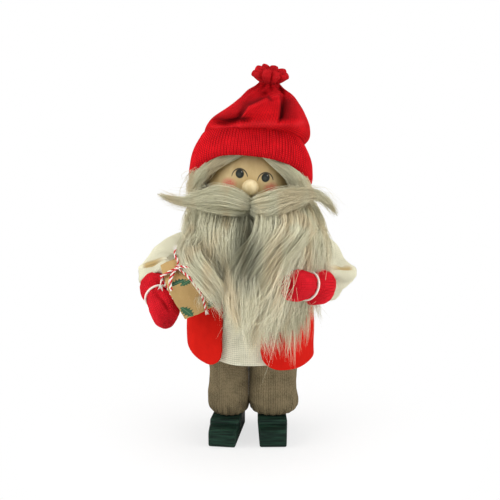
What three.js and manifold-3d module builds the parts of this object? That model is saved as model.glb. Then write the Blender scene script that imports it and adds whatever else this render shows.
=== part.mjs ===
// A standing tomte doll: wooden shoes, legs, spine and head, bent-wire arms, wadding, and clothes of
// knitted wool and felt, with a long wool beard and a wrapped parcel under the right arm.
// Millimetres, +Z up. The figure faces -Y, so its own right hand is on the -X side.

import * as THREE from "three";
import { mergeVertices } from "three/addons/utils/BufferGeometryUtils.js";
import Module from "manifold-3d";

const wasm = await Module();
wasm.setup();

// Gaps between neighbouring pieces
const seatGap = 0.3; // between a piece and what it rests on
const turnGap = 0.9; // round a piece that turns

// Wooden frame
const shoeWidth = 20;
const shoeLength = 46;
const shoeToeHeight = 12.5;
const shoeAnkleHeight = 15.5;
const shoeHeelReach = 17; // heel edge behind the leg's axis
const shoeAnkleReach = 17; // raised part in front of the leg's axis
const shoeToeRadius = 6.5;
const shoeEdgeBevel = 0.8;
const rightShoeYaw = 8; // degrees, toe turned outwards
const leftShoeYaw = 1;
const legSpacing = 30;
const dowelDiameter = 8;
const shoeSocketDepth = 8;
const hipBottom = 64;
const hipWidth = 42;
const hipDepth = 22;
const hipHeight = 18;
const hipSocketDepth = 11;
const headRadius = 29;
const headLift = 30; // centre of the head above the jumper's neck
const headForward = 1;
const headRoll = 5.5; // degrees, leaning to the figure's left
const headSocketDepth = 19;
const noseRadius = 5.3;
const noseRise = 1.5;
const wireDiameter = 1.8;

// Trousers
const trouserLegHalfWidth = 14.3;
const trouserLegHalfDepth = 14;
const trouserGap = 0.8; // between the two legs
const trouserWall = 1.5;
const crotchHeight = 60;
const waistHeight = 85;
const seatHalfWidth = 29.5;
const seatHalfDepth = 20;

// Jumper and waistcoat
const hemHeight = 58;
const neckHeight = 145;
const torsoHalfWidth = 39.5;
const torsoHalfDepth = 34;
const jumperWall = 1.6;
const waddingRise = 2; // bottom of the stuffing above the jumper's hem
const feltThickness = 2;
const feltGap = 0.4;
const vestHem = 56.5;
const vestRise = 6; // top of the waistcoat above the shoulders' centres
const vestOpeningRight = -18; // front edges of the waistcoat
const vestOpeningLeft = 7;
const vestCornerRadius = 12;
const vestFlare = 2.4; // how far the folds of its lower edge stand out
const vestFolds = 7;

// Arms: shoulder balls, sleeves, mittens
const shoulderDrop = 15; // shoulders' centres below the jumper's neck
const shoulderSpan = 69; // between the two shoulder centres
const shoulderRadius = 14;
const sleeveMouthDepth = 13;
const sleeveWall = 2;
const mittenHalfWidth = 10.5;
const mittenHalfThickness = 8.6;
const bandThickness = 1.4;
const thumbRadius = 5;
const thumbReach = 9.5; // from the middle of the hand
const rightBand = 0.41; // the band's place along the hand
const leftBand = 0.53;
const knuckleLift = 1.5; // how far the hand's back is raised between wrist and fingertip

// Places of the arm's bends, from its own shoulder: outwards, backwards and upwards
const rightElbow = [19.5, 1, -8];
const rightMouth = [23.5, -15, -18];
const rightWrist = [26.5, -16, -17];
const rightFingertip = [15, -52, -39.5];
const leftElbow = [17.5, 1, -9];
const leftMouth = [20.5, -15, -19];
const leftWrist = [16.5, -22, -19.5];
const leftFingertip = [-12, -58.5, -9];
const rightPalm = [-0.5, -0.85, 0.1]; // the way the thumb lies: beside the parcel, and on the beard
const leftPalm = [-0.74, 0.67, 0];

// The sleeve's slanted mouth: from its middle to its outer corner and to its front edge
const mouthOuter = [14, 1, 6.5];
const mouthFront = [-4, -12, 16.5];
const mouthPinch = 0.45; // how far its lower outer edge is drawn in

// Parcel: a small card box in paper, tied with twine
const parcelWidth = 21.5;
const parcelDepth = 23;
const parcelLength = 32;
const paperThickness = 0.6;
const twineThickness = 1.5;
const parcelPlace = [4.6, -46.6, -13.3]; // its centre, from the right shoulder as above
const parcelTurn = [33.5, -17, 16.5]; // degrees about X, Y and Z, its top leaning forwards and outwards

// Hat
const hatTilt = 30; // degrees, pushed back from the brow
const cuffRadius = 39.5;
const cuffTopRadius = 35;
const cuffHeight = 22;
const cuffDrop = 1; // lower edge above the head's centre, along the tilted axis
const cuffThickness = 3.4;
const crownWall = 1.6;
const hatNeck = [6.3, 2, 61.3]; // where the tuft is tied, from the head's centre
const hatNeckRadius = 8;
const tuftRadius = 11.5;
const tuftHeight = 14;
const tuftPleats = 8;
const tieThickness = 1.5;

// Wool
const hairThickness = 6.5;
const hairDrop = 24; // lowest hair below the head's centre
const beardDrop = 9; // top of the beard below the head's centre
const beardLength = 95;
const beardSpan = 88; // at its widest
const beardThickness = 12;
const moustacheReach = 58;
const moustacheRadius = 8.2;

const headHeight = neckHeight + headLift;
const shoulderHeight = neckHeight - shoulderDrop;
const vestTop = shoulderHeight + vestRise;
const beardTop = headHeight - beardDrop;

const radians = THREE.MathUtils.degToRad;
const v3 = (x, y, z) => new THREE.Vector3(x, y, z);

// Solid modelling helpers

// A solid from a closed geometry; only the vertex positions matter.
function solid(geometry) {
  const bare = geometry.index ? geometry.toNonIndexed() : geometry.clone();
  const positions = new THREE.BufferGeometry();
  positions.setAttribute("position", bare.getAttribute("position"));
  const merged = mergeVertices(positions, 1e-4);
  return new wasm.Manifold(
    new wasm.Mesh({
      numProp: 3,
      vertProperties: merged.attributes.position.array,
      triVerts: new Uint32Array(merged.index.array),
    }),
  );
}

// Points that change the surface by less than this are left out.
const finest = 0.06;

function geometryOf(made) {
  const mesh = made.simplify(finest).getMesh();
  const geometry = new THREE.BufferGeometry();
  geometry.setAttribute("position", new THREE.BufferAttribute(mesh.vertProperties.slice(), 3));
  geometry.setIndex(new THREE.BufferAttribute(mesh.triVerts.slice(), 1));
  return geometry;
}

function cut(body, ...tools) {
  return geometryOf(tools.reduce((rest, tool) => rest.subtract(solid(tool)), solid(body)));
}

function join(...bodies) {
  return geometryOf(bodies.slice(1).reduce((sum, body) => sum.add(solid(body)), solid(bodies[0])));
}

// A skin over rings of equal point count. The ends are capped, or joined if the rings run in a loop.
function skin(rings, loop = false) {
  const sides = rings[0].length;
  const points = rings.flat();
  const faces = [];
  const at = (ring, side) => (ring % rings.length) * sides + (side % sides);
  const bands = loop ? rings.length : rings.length - 1;
  for (let i = 0; i < bands; i++) {
    for (let j = 0; j < sides; j++) {
      faces.push(at(i, j), at(i, j + 1), at(i + 1, j + 1));
      faces.push(at(i, j), at(i + 1, j + 1), at(i + 1, j));
    }
  }
  if (!loop) {
    [0, rings.length - 1].forEach((ring, end) => {
      const hub = points.length;
      points.push(rings[ring].reduce((sum, p) => sum.add(p), v3(0, 0, 0)).divideScalar(sides));
      for (let j = 0; j < sides; j++) {
        const rim = [at(ring, j), at(ring, j + 1)];
        faces.push(hub, ...(end ? rim : rim.reverse()));
      }
    });
  }
  const geometry = new THREE.BufferGeometry().setFromPoints(points);
  geometry.setIndex(volumeOf(points, faces) < 0 ? faces.toReversed() : faces);
  return geometry;
}

function volumeOf(points, faces) {
  let sum = 0;
  for (let i = 0; i < faces.length; i += 3) {
    const [a, b, c] = [points[faces[i]], points[faces[i + 1]], points[faces[i + 2]]];
    sum += a.dot(b.clone().cross(c));
  }
  return sum;
}

// An upright oval ring of points.
function oval(x, y, z, halfX, halfY, sides) {
  return Array.from({ length: sides }, (_, i) => {
    const turn = (i / sides) * 2 * Math.PI;
    return v3(x + halfX * Math.cos(turn), y + halfY * Math.sin(turn), z);
  });
}

// Values between stations [position, value, value...], in straight steps.
function between(stations, position) {
  const next = stations.findIndex((s) => s[0] >= position);
  if (next <= 0) return (next < 0 ? stations.at(-1) : stations[0]).slice(1);
  const [a, b] = [stations[next - 1], stations[next]];
  const share = (position - a[0]) / (b[0] - a[0]);
  return a.slice(1).map((value, i) => value + (b[i + 1] - value) * share);
}

// A solid swept along a curve. sizeAt gives its two half sizes at each share of the way, and the
// first is measured across the curve and the upright direction.
function sweep(curve, steps, sides, sizeAt, upright = v3(0, 0, 1)) {
  const rings = [];
  for (let i = 0; i <= steps; i++) {
    const centre = curve.getPointAt(i / steps);
    const along = curve.getTangentAt(i / steps);
    const across = upright.clone().cross(along).normalize();
    const up = along.clone().cross(across);
    const [halfAcross, halfUp] = sizeAt(i / steps);
    rings.push(
      Array.from({ length: sides }, (_, j) => {
        const turn = (j / sides) * 2 * Math.PI;
        return centre
          .clone()
          .addScaledVector(across, halfAcross * Math.cos(turn))
          .addScaledVector(up, halfUp * Math.sin(turn));
      }),
    );
  }
  return skin(rings);
}

// A round ring of wire or yarn, lying on an oval in the plane of two half-axis vectors.
function hoop(centre, halfA, halfB, radius, steps, sides) {
  const normal = halfA.clone().cross(halfB).normalize();
  const rings = Array.from({ length: steps }, (_, i) => {
    const turn = (i / steps) * 2 * Math.PI;
    const out = halfA.clone().multiplyScalar(Math.cos(turn)).addScaledVector(halfB, Math.sin(turn));
    const outward = out.clone().normalize();
    return Array.from({ length: sides }, (_, j) => {
      const roll = (j / sides) * 2 * Math.PI;
      return centre
        .clone()
        .add(out)
        .addScaledVector(outward, radius * Math.cos(roll))
        .addScaledVector(normal, radius * Math.sin(roll));
    });
  });
  return skin(rings, true);
}

function rod(from, to, radius, sides = 16) {
  const path = new THREE.LineCurve3(from, to);
  const upright = Math.abs(to.z - from.z) > Math.abs(to.x - from.x) ? v3(0, 1, 0) : v3(0, 0, 1);
  return sweep(path, 1, sides, () => [radius, radius], upright);
}

function ball(centre, radius, wide = 14, high = 10) {
  return new THREE.SphereGeometry(radius, wide, high).translate(...centre);
}

function wire(points, radius) {
  const round = new THREE.Shape().absarc(0, 0, radius, 0, 2 * Math.PI);
  const extrudePath = new THREE.CatmullRomCurve3(points);
  return new THREE.ExtrudeGeometry(round, { extrudePath, steps: 2 * (points.length - 1), curveSegments: 4 });
}

// Shoes: a profile like a clog's, sawn from a board and set on the leg

const legX = legSpacing / 2;
const dowelRadius = dowelDiameter / 2;
const dowelBore = dowelRadius + seatGap;

function shoe(side, yaw) {
  const toe = shoeHeelReach - shoeLength;
  const profile = new THREE.Shape();
  const inset = shoeEdgeBevel;
  profile.moveTo(shoeHeelReach - inset, inset);
  profile.lineTo(shoeHeelReach - inset, shoeAnkleHeight - inset);
  profile.lineTo(-shoeAnkleReach + inset, shoeAnkleHeight - inset);
  profile.lineTo(-shoeAnkleReach, shoeToeHeight - inset);
  profile.lineTo(toe + shoeToeRadius, shoeToeHeight - inset);
  profile.quadraticCurveTo(toe + inset, shoeToeHeight - inset, toe + inset, shoeToeHeight - shoeToeRadius);
  profile.quadraticCurveTo(toe + inset, inset + 2, toe + shoeToeRadius / 2, inset);
  const block = new THREE.ExtrudeGeometry(profile, {
    depth: shoeWidth - 2 * inset,
    bevelSize: inset,
    bevelThickness: inset,
    bevelSegments: 1,
    curveSegments: 6,
  });
  // The profile's x runs backwards and its y upwards; the board's thickness runs across the foot.
  block.applyMatrix4(
    new THREE.Matrix4().makeBasis(v3(0, 1, 0), v3(0, 0, 1), v3(1, 0, 0)).setPosition(-shoeWidth / 2 + inset, 0, 0),
  );
  block.rotateZ(radians(yaw));
  block.translate(side * legX, 0, 0);
  const socket = rod(
    v3(side * legX, 0, shoeAnkleHeight - shoeSocketDepth),
    v3(side * legX, 0, shoeAnkleHeight + 1),
    dowelBore,
  );
  return cut(block, socket);
}

// Wooden frame inside the clothes

const legBottom = shoeAnkleHeight - shoeSocketDepth + seatGap;
const legTop = hipBottom + hipSocketDepth - seatGap;
const hipTop = hipBottom + hipHeight;
const spineBottom = hipTop - hipSocketDepth + 4 + seatGap;
const headBottom = headHeight - headRadius;
const spineTop = headBottom + headSocketDepth;
const headCentre = v3(0, -headForward, headHeight);

function legDowel(side, grow = 0) {
  return rod(v3(side * legX, 0, legBottom - grow), v3(side * legX, 0, legTop + grow), dowelRadius + grow);
}

function spine(grow = 0) {
  return rod(v3(0, -headForward, spineBottom - grow), v3(0, -headForward, spineTop + grow), dowelRadius + grow);
}

function hipBlockSolid(grow = 0) {
  return new THREE.BoxGeometry(hipWidth + 2 * grow, hipDepth + 2 * grow, hipHeight + 2 * grow).translate(
    0,
    0,
    hipBottom + hipHeight / 2,
  );
}

// Trousers: two stuffed legs, closed round the ankles, joined at the seat

const trouserHem = shoeAnkleHeight + seatGap;
const legStations = [
  [0, 0.42],
  [0.05, 0.74],
  [0.14, 0.94],
  [0.3, 1],
  [0.6, 0.97],
  [1, 0.99],
];

function trouserLeg(side, shrink, from = 0) {
  const height = crotchHeight + 6 - trouserHem;
  const x = side * Math.max(legX, trouserLegHalfWidth + trouserGap / 2);
  const rings = legStations.map(([share, size], i) => {
    const z = trouserHem + share * height + (i === 0 ? from : 0);
    return oval(x, 0, z, trouserLegHalfWidth * size - shrink, trouserLegHalfDepth * size - shrink, 14);
  });
  return skin(rings);
}

function trouserSeat(shrink, rise = 0) {
  return skin([
    oval(0, 0, crotchHeight + shrink, seatHalfWidth * 0.97 - shrink, seatHalfDepth * 0.9 - shrink, 18),
    oval(0, 0, crotchHeight + 8, seatHalfWidth - shrink, seatHalfDepth - shrink, 18),
    oval(0, 0, waistHeight + rise, seatHalfWidth * 0.97 - shrink, seatHalfDepth * 0.97 - shrink, 18),
  ]);
}

function trousers() {
  const outside = join(trouserLeg(-1, 0), trouserLeg(1, 0), trouserSeat(0));
  const inside = [-1, 1].map((side) => trouserLeg(side, trouserWall, trouserWall));
  return cut(outside, ...inside, trouserSeat(trouserWall, 1), legDowel(-1, seatGap), legDowel(1, seatGap));
}

function legWadding(side) {
  const shrink = trouserWall + seatGap;
  const stuffing = trouserLeg(side, shrink, shrink);
  return cut(stuffing, legDowel(side, seatGap), hipBlockSolid(seatGap));
}

// Torso: one run of oval stations shared by wadding, jumper and waistcoat

const torsoStations = [
  [0, 0.985, 0.96],
  [0.2, 1, 1],
  [0.45, 0.985, 1],
  [0.65, 0.95, 0.93],
  [0.8, 0.84, 0.79],
  [0.92, 0.6, 0.57],
  [1, 0.31, 0.35],
];

function torso(grow, bottom, top, extra = 0, flare = 0) {
  const inside = torsoStations
    .map(([share]) => hemHeight + share * (neckHeight - hemHeight))
    .filter((z) => z > bottom + 1 && z < top - 1);
  const rings = [bottom, ...inside, top].map((z, i, all) => {
    const [wide, deep] = between(torsoStations, (z - hemHeight) / (neckHeight - hemHeight));
    const end = i === 0 ? -extra : i === all.length - 1 ? extra : 0;
    const ring = oval(0, 0, z + end, torsoHalfWidth * wide + grow, torsoHalfDepth * deep + grow, 28);
    const slack = flare * ((top - z) / (top - bottom)) ** 2;
    ring.forEach((p, j) => {
      const fold = 0.5 + 0.5 * Math.cos((vestFolds * 2 * Math.PI * j) / ring.length);
      p.add(v3(p.x, p.y, 0).normalize().multiplyScalar(slack * fold));
    });
    return ring;
  });
  return skin(rings);
}

const shoulderX = shoulderSpan / 2;
const shoulderOf = (side) => v3(side * shoulderX, 0, shoulderHeight);

// Room that both sleeves need in the torso's clothes.
function armholes(gap) {
  return [
    ball(shoulderOf(-1).toArray(), shoulderRadius + gap),
    ball(shoulderOf(1).toArray(), shoulderRadius + gap),
    sleeveTube(right, gap),
    sleeveTube(left, gap),
  ];
}

function jumper() {
  const shell = cut(torso(0, hemHeight, neckHeight), torso(-jumperWall, hemHeight, neckHeight, 1));
  return cut(shell, ...armholes(turnGap));
}

function torsoWadding() {
  const top = neckHeight - 4;
  const filling = torso(-jumperWall - seatGap, hemHeight + waddingRise, top);
  return cut(
    filling,
    trouserLeg(-1, -seatGap),
    trouserLeg(1, -seatGap),
    trouserSeat(-seatGap, seatGap),
    hipBlockSolid(seatGap),
    spine(seatGap),
    shoulderWire(seatGap),
    ...armholes(turnGap),
  );
}

function waistcoat() {
  const inner = feltGap;
  const shell = cut(
    torso(inner + feltThickness, vestHem, vestTop, 0, vestFlare),
    torso(inner, vestHem, vestTop, 1, vestFlare),
  );
  const opening = new THREE.Shape();
  const corner = vestCornerRadius;
  opening.moveTo(vestOpeningRight - corner, vestHem - 1);
  opening.lineTo(vestOpeningRight - corner, vestHem);
  opening.quadraticCurveTo(vestOpeningRight, vestHem, vestOpeningRight, vestHem + corner);
  opening.lineTo(vestOpeningRight, vestTop + 1);
  opening.lineTo(vestOpeningLeft, vestTop + 1);
  opening.lineTo(vestOpeningLeft, vestHem + corner);
  opening.quadraticCurveTo(vestOpeningLeft, vestHem, vestOpeningLeft + corner, vestHem);
  opening.lineTo(vestOpeningLeft + corner, vestHem - 1);
  const front = new THREE.ExtrudeGeometry(opening, { depth: 2 * torsoHalfDepth, bevelEnabled: false, curveSegments: 6 });
  front.rotateX(Math.PI / 2);
  return cut(shell, front, ...armholes(turnGap + feltGap));
}

// Arms: each sleeve is a bent knitted bell on a shoulder ball, with a wire through it

const placeOf = (side, offset) => shoulderOf(side).add(v3(side * offset[0], offset[1], offset[2]));

function armPlan(side, elbow, mouth, wrist, fingertip, palm, band) {
  const plan = { side, shoulder: shoulderOf(side), band };
  plan.elbow = placeOf(side, elbow);
  plan.mouth = placeOf(side, mouth);
  plan.wrist = placeOf(side, wrist);
  plan.fingertip = placeOf(side, fingertip);
  plan.palm = v3(side * palm[0], palm[1], palm[2]).normalize();
  plan.path = new THREE.QuadraticBezierCurve3(plan.shoulder, plan.elbow, plan.mouth);
  plan.outer = v3(side * mouthOuter[0], mouthOuter[1], mouthOuter[2]);
  plan.front = v3(side * mouthFront[0], mouthFront[1], mouthFront[2]);
  plan.facing = plan.outer.clone().cross(plan.front).multiplyScalar(side).normalize();
  plan.pivot = plan.mouth.clone().addScaledVector(plan.facing, -sleeveMouthDepth / 2);
  return plan;
}

const right = armPlan(-1, rightElbow, rightMouth, rightWrist, rightFingertip, rightPalm, rightBand);
const left = armPlan(1, leftElbow, leftMouth, leftWrist, leftFingertip, leftPalm, leftBand);

// Shares of the way down the sleeve: how full its ring is
const sleeveStations = [
  [0, 1],
  [0.35, 1.13],
  [0.7, 1.08],
  [1, 1],
];

// A ring of the sleeve, which turns from the upright armhole to the slanted mouth.
function sleeveRing(arm, share, grow, ahead = 0) {
  const [full] = between(sleeveStations, share);
  const armhole = shoulderRadius - seatGap;
  const top = v3(arm.side * 0.55, 0, 0.83).multiplyScalar(armhole).lerp(arm.outer, share).multiplyScalar(full);
  const front = v3(0, -armhole, 0).lerp(arm.front, share).multiplyScalar(full);
  top.setLength(top.length() + grow);
  front.setLength(front.length() + grow);
  const centre = arm.path.getPoint(share).addScaledVector(arm.facing, ahead);
  const sides = 14;
  return Array.from({ length: sides }, (_, i) => {
    const turn = (i / sides) * 2 * Math.PI;
    const outwards = Math.cos(turn);
    const forwards = Math.sin(turn);
    const drawn = 1 - 2 * mouthPinch * share * Math.max(0, outwards) * Math.max(0, -forwards);
    return centre.clone().addScaledVector(top, drawn * outwards).addScaledVector(front, drawn * forwards);
  });
}

function sleeveTube(arm, grow) {
  return skin([0, 0.2, 0.4, 0.6, 0.8, 1].map((share) => sleeveRing(arm, share, grow)));
}

function sleeve(arm) {
  const outside = join(ball(arm.shoulder.toArray(), shoulderRadius, 14, 10), sleeveTube(arm, 0));
  const recess = skin([
    sleeveRing(arm, 0.5, -2 * sleeveWall),
    sleeveRing(arm, 0.75, -sleeveWall),
    sleeveRing(arm, 1, -sleeveWall),
    sleeveRing(arm, 1, -sleeveWall, 2),
  ]);
  return cut(outside, recess, armWire(arm, seatGap));
}

// The bent wire is parted where the arm turns: at the shoulder ball and inside the sleeve's mouth.
const wireRadius = wireDiameter / 2;
const wireParting = 0.45;

function shoulderWire(grow = 0) {
  const end = shoulderX - shoulderRadius - turnGap - seatGap;
  return rod(
    v3(-end - grow, -headForward, shoulderHeight),
    v3(end + grow, -headForward, shoulderHeight),
    wireRadius + grow,
    8,
  );
}

function armWire(arm, grow = 0) {
  const inner = arm.shoulder.clone().add(v3(-arm.side * (shoulderRadius - 1), 0, 0));
  const last = arm.pivot.clone().addScaledVector(arm.facing, -wireParting);
  const before = last.clone().addScaledVector(arm.facing, -4);
  const bend = arm.path.getPointAt(0.55);
  return wire([inner, arm.shoulder, bend, before, last], wireRadius + grow);
}

function handWire(arm, grow = 0) {
  const hand = handPath(arm);
  const first = arm.pivot.clone().addScaledVector(arm.facing, wireParting);
  const next = first.clone().addScaledVector(arm.facing, 6);
  return wire([first, next, hand.getPointAt(0.35), hand.getPointAt(0.75)], wireRadius + grow);
}

// Mittens: stuffed knitted bags, drawn in at the wrist by a white band

function handPath(arm) {
  const knuckle = arm.wrist.clone().lerp(arm.fingertip, 0.5).add(v3(arm.side * knuckleLift, 0, knuckleLift));
  return new THREE.QuadraticBezierCurve3(arm.wrist, knuckle, arm.fingertip);
}

const mittenStations = [
  [0, 0.55],
  [0.05, 0.72],
  [0.18, 1],
  [0.3, 1.06],
  [0.38, 0.83],
  [0.44, 0.82],
  [0.56, 0.98],
  [0.78, 1],
  [0.91, 0.78],
  [0.97, 0.5],
  [1, 0.22],
];
const bandShare = 0.41;
const handUpright = v3(0.2, -0.5, 1);

// The stations' own share for a place along the hand, so that its band sits in their waist.
function stationShare(arm, share) {
  if (share < arm.band) return (share / arm.band) * bandShare;
  return THREE.MathUtils.mapLinear(share, arm.band, 1, bandShare, 1);
}

function thumb(arm, grow = 0) {
  const hand = handPath(arm);
  const place = (past, reach) => {
    const root = hand.getPointAt(THREE.MathUtils.lerp(arm.band, 1, past));
    return root.addScaledVector(arm.palm, reach * thumbReach);
  };
  const path = new THREE.QuadraticBezierCurve3(place(0.2, 0.4), place(0.48, 1.35), place(0.76, 0.95));
  const size = (share) => {
    const radius = thumbRadius * (1 - 0.5 * (2 * share - 1) ** 2) + grow;
    return [radius, radius];
  };
  return sweep(path, 6, 10, size, handUpright);
}

function mittenBag(arm, grow = 0) {
  const size = (share) => {
    const [scale] = between(mittenStations, stationShare(arm, share));
    return [mittenHalfThickness * scale + grow, mittenHalfWidth * scale + grow];
  };
  return join(sweep(handPath(arm), 12, 12, size, handUpright), thumb(arm, grow));
}

function mitten(arm, ...obstacles) {
  return cut(mittenBag(arm), handWire(arm, seatGap), ...obstacles);
}

function mittenBand(arm, grow = 0) {
  const path = handPath(arm);
  const along = path.getTangentAt(arm.band);
  const across = handUpright.clone().cross(along).normalize();
  const up = along.clone().cross(across);
  const [scale] = between(mittenStations, bandShare);
  const reach = seatGap + bandThickness / 2;
  return hoop(
    path.getPointAt(arm.band),
    across.multiplyScalar(mittenHalfThickness * scale + reach),
    up.multiplyScalar(mittenHalfWidth * scale + reach),
    bandThickness / 2 + grow,
    18,
    6,
  );
}

// Parcel: built upright round its own centre, then turned into the crook of the arm

function inParcelPlace(geometry) {
  const [x, y, z] = parcelTurn.map(radians);
  const turn = new THREE.Matrix4().makeRotationFromEuler(new THREE.Euler(x, y, z));
  return geometry.applyMatrix4(turn.setPosition(placeOf(-1, parcelPlace)));
}

function parcelBrick(inset) {
  return new THREE.BoxGeometry(parcelWidth - 2 * inset, parcelDepth - 2 * inset, parcelLength - 2 * inset);
}

// The room that the tied parcel takes up.
// What the palm is pressed against: the paper, and the loop of twine that stands proud of it.
function parcelSeat() {
  const proud = 2 * (2 * seatGap + twineThickness);
  const loop = new THREE.BoxGeometry(parcelWidth + proud, twineThickness + 2 * seatGap, parcelLength + proud);
  return [inParcelPlace(parcelBrick(-seatGap)), inParcelPlace(loop)];
}

function parcelRoom() {
  return inParcelPlace(parcelBrick(-2 * seatGap - twineThickness));
}

function parcelPaper() {
  const slit = new THREE.BoxGeometry(parcelWidth / 2, 2 * seatGap, 3 * paperThickness);
  slit.translate(0, 0, -parcelLength / 2);
  return cut(parcelBrick(0), parcelBrick(paperThickness), slit);
}

// One square loop of twine round the parcel, in the plane of two of its sizes.
function twineLoop(wide, high) {
  const near = seatGap;
  const far = seatGap + twineThickness;
  const loop = new THREE.Shape();
  const frame = (path, reach) => {
    path.moveTo(-wide / 2 - reach, -high / 2 - reach);
    path.lineTo(wide / 2 + reach, -high / 2 - reach);
    path.lineTo(wide / 2 + reach, high / 2 + reach);
    path.lineTo(-wide / 2 - reach, high / 2 + reach);
    path.closePath();
    return path;
  };
  frame(loop, far);
  loop.holes.push(frame(new THREE.Path(), near));
  const band = new THREE.ExtrudeGeometry(loop, { depth: twineThickness, bevelEnabled: false });
  return band.translate(0, 0, -twineThickness / 2);
}

function parcelTwine() {
  const lengthwise = twineLoop(parcelWidth, parcelLength).rotateX(Math.PI / 2);
  const half = parcelWidth / 2;
  const front = -parcelDepth / 2;
  const knotZ = parcelLength / 2 + seatGap + twineThickness;
  const knot = ball([0, 0, knotZ], twineThickness * 1.2, 10, 6);
  const bowLoop = (side) =>
    sweep(
      new THREE.CatmullRomCurve3(
        [
          v3(0, 0, knotZ + 0.2),
          v3(side * 0.6 * half, -3, knotZ + 2.5),
          v3(side * 1.15 * half, -5, knotZ + 1.5),
          v3(side * 0.75 * half, -1, knotZ + 1),
          v3(0, 0.2, knotZ + 0.4),
        ],
      ),
      10,
      6,
      () => [twineThickness / 2, twineThickness / 2],
      v3(0.01, 0.2, 1),
    );
  const lie = seatGap + twineThickness / 2;
  const top = parcelLength / 2 + lie;
  const tail = (points) =>
    sweep(
      new THREE.CatmullRomCurve3(points),
      14,
      6,
      () => [twineThickness / 2, twineThickness / 2],
      v3(0.3, 0.9, 0.2),
    );
  const hanging = tail([
    v3(0, 0, knotZ),
    v3(0.5 * half, 0.4 * front, top + 0.3),
    v3(half + 0.5, 0.7 * front, top + 0.5),
    v3(half + lie + 0.2, 0.78 * front, top - 3),
    v3(half + lie, 0.82 * front, 5),
    v3(half + lie, 0.84 * front, -3),
  ]);
  const lying = tail([
    v3(0, 0, knotZ),
    v3(-0.7 * half, 0.1 * front, knotZ + 1),
    v3(-half - 2.2, 0.15 * front, knotZ - 1),
    v3(-half - 3.4, 0.25 * front, knotZ - 6),
  ]);
  return join(lengthwise, knot, bowLoop(-1), bowLoop(1), hanging, lying);
}

// Head: a turned ball with a glued bead for a nose, tilted on the neck

function inHeadPlace(geometry) {
  const tilt = new THREE.Matrix4().makeRotationY(radians(headRoll));
  return geometry.applyMatrix4(tilt.setPosition(headCentre));
}

function skull(grow = 0) {
  return inHeadPlace(ball([0, 0, 0], headRadius + grow, 20, 12));
}

function head() {
  return cut(skull(), spine(seatGap));
}

const noseCentre = [0, -headRadius - noseRadius * 0.55, noseRise];

function nose() {
  const bead = inHeadPlace(ball(noseCentre, noseRadius, 12, 8));
  return cut(bead, skull(seatGap));
}

// Hat: a turned-up ribbed cuff, a slack crown, and a tied tuft. The cuff's frame is tilted back.

function inHatPlace(geometry) {
  return inHeadPlace(geometry.rotateX(radians(-hatTilt)));
}

function hatCuff() {
  const lower = cuffDrop;
  const upper = cuffDrop + cuffHeight;
  const roll = cuffThickness / 2;
  const profile = [
    [cuffRadius - cuffThickness, lower + roll],
    [cuffRadius - roll, lower],
    [cuffRadius, lower + roll],
    [cuffRadius + 0.4, lower + cuffHeight * 0.4],
    [cuffTopRadius + 0.6, upper - roll],
    [cuffTopRadius - roll, upper],
    [cuffTopRadius - cuffThickness, upper - roll],
    [cuffRadius - cuffThickness, lower + roll],
  ].map(([r, z]) => new THREE.Vector2(r, z));
  return inHatPlace(new THREE.LatheGeometry(profile, 28).rotateX(Math.PI / 2));
}

// Shares of the way from the cuff's top to the tied neck: sideways shift, width, depth, depth of the folds.
const crownStations = [
  [0, 0, 1, 1, 0],
  [0.2, 0.12, 1.05, 1.03, 0.03],
  [0.4, 0.27, 0.98, 0.96, 0.09],
  [0.58, 0.54, 0.83, 0.82, 0.14],
  [0.77, 0.78, 0.62, 0.62, 0.16],
  [0.9, 0.92, 0.45, 0.45, 0.12],
  [1, 1, 0.24, 0.24, 0],
];
const crownFolds = [
  [-2.05, 0.28, 1], // direction in radians round the head, half width, depth
  [-1.2, 0.22, 0.9],
  [0.9, 0.4, 0.5],
  [2.6, 0.45, 0.5],
];
const crownSides = 24;

function crownRing(share, shrink) {
  const lean = radians(-hatTilt) * (1 - share);
  const base = v3(0, 0, cuffDrop + cuffHeight + 4 * seatGap).applyAxisAngle(v3(1, 0, 0), radians(-hatTilt));
  const [shift, wide, deep, fold] = between(crownStations, share);
  const neck = v3(...hatNeck);
  const centre = v3(neck.x * shift, base.y + (neck.y - base.y) * share, base.z + (neck.z - base.z) * share);
  const radius = cuffTopRadius - cuffThickness / 2;
  return Array.from({ length: crownSides }, (_, i) => {
    const turn = (i / crownSides) * 2 * Math.PI;
    const tuck = crownFolds.reduce((sum, [at, half, depth]) => {
      const apart = Math.atan2(Math.sin(turn - at), Math.cos(turn - at));
      return sum + fold * depth * Math.exp(-((apart / half) ** 2));
    }, 0);
    const reachX = (radius * wide - shrink) * (1 - tuck);
    const reachY = (radius * deep - shrink) * (1 - tuck);
    const rim = v3(reachX * Math.cos(turn), reachY * Math.sin(turn), 0);
    return rim.applyAxisAngle(v3(1, 0, 0), lean).add(centre);
  });
}

// The crown's lower edge runs down inside the cuff, to just above the hair.
const skirtHeight = cuffDrop + cuffHeight * 0.55;

function crownSkirt(height, shrink) {
  const radius = cuffTopRadius - cuffThickness - seatGap - shrink;
  return oval(0, 0, height, radius, radius, crownSides).map((p) => p.applyAxisAngle(v3(1, 0, 0), radians(-hatTilt)));
}

function hatCrown() {
  const shares = [0, 0.1, 0.2, 0.4, 0.5, 0.6, 0.7, 0.8, 0.9, 1];
  const upper = cuffDrop + cuffHeight - seatGap;
  const layers = (shrink, from, list) => [
    crownSkirt(from, shrink),
    crownSkirt(upper, shrink),
    ...list.map((share) => crownRing(share, shrink)),
  ];
  const outside = skin(layers(0, skirtHeight, shares));
  const inside = skin(layers(crownWall, skirtHeight - 1, shares.slice(0, -1)));
  return cut(inHeadPlace(outside), inHeadPlace(inside));
}

const stemRadius = hatNeckRadius * 0.78;

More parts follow.
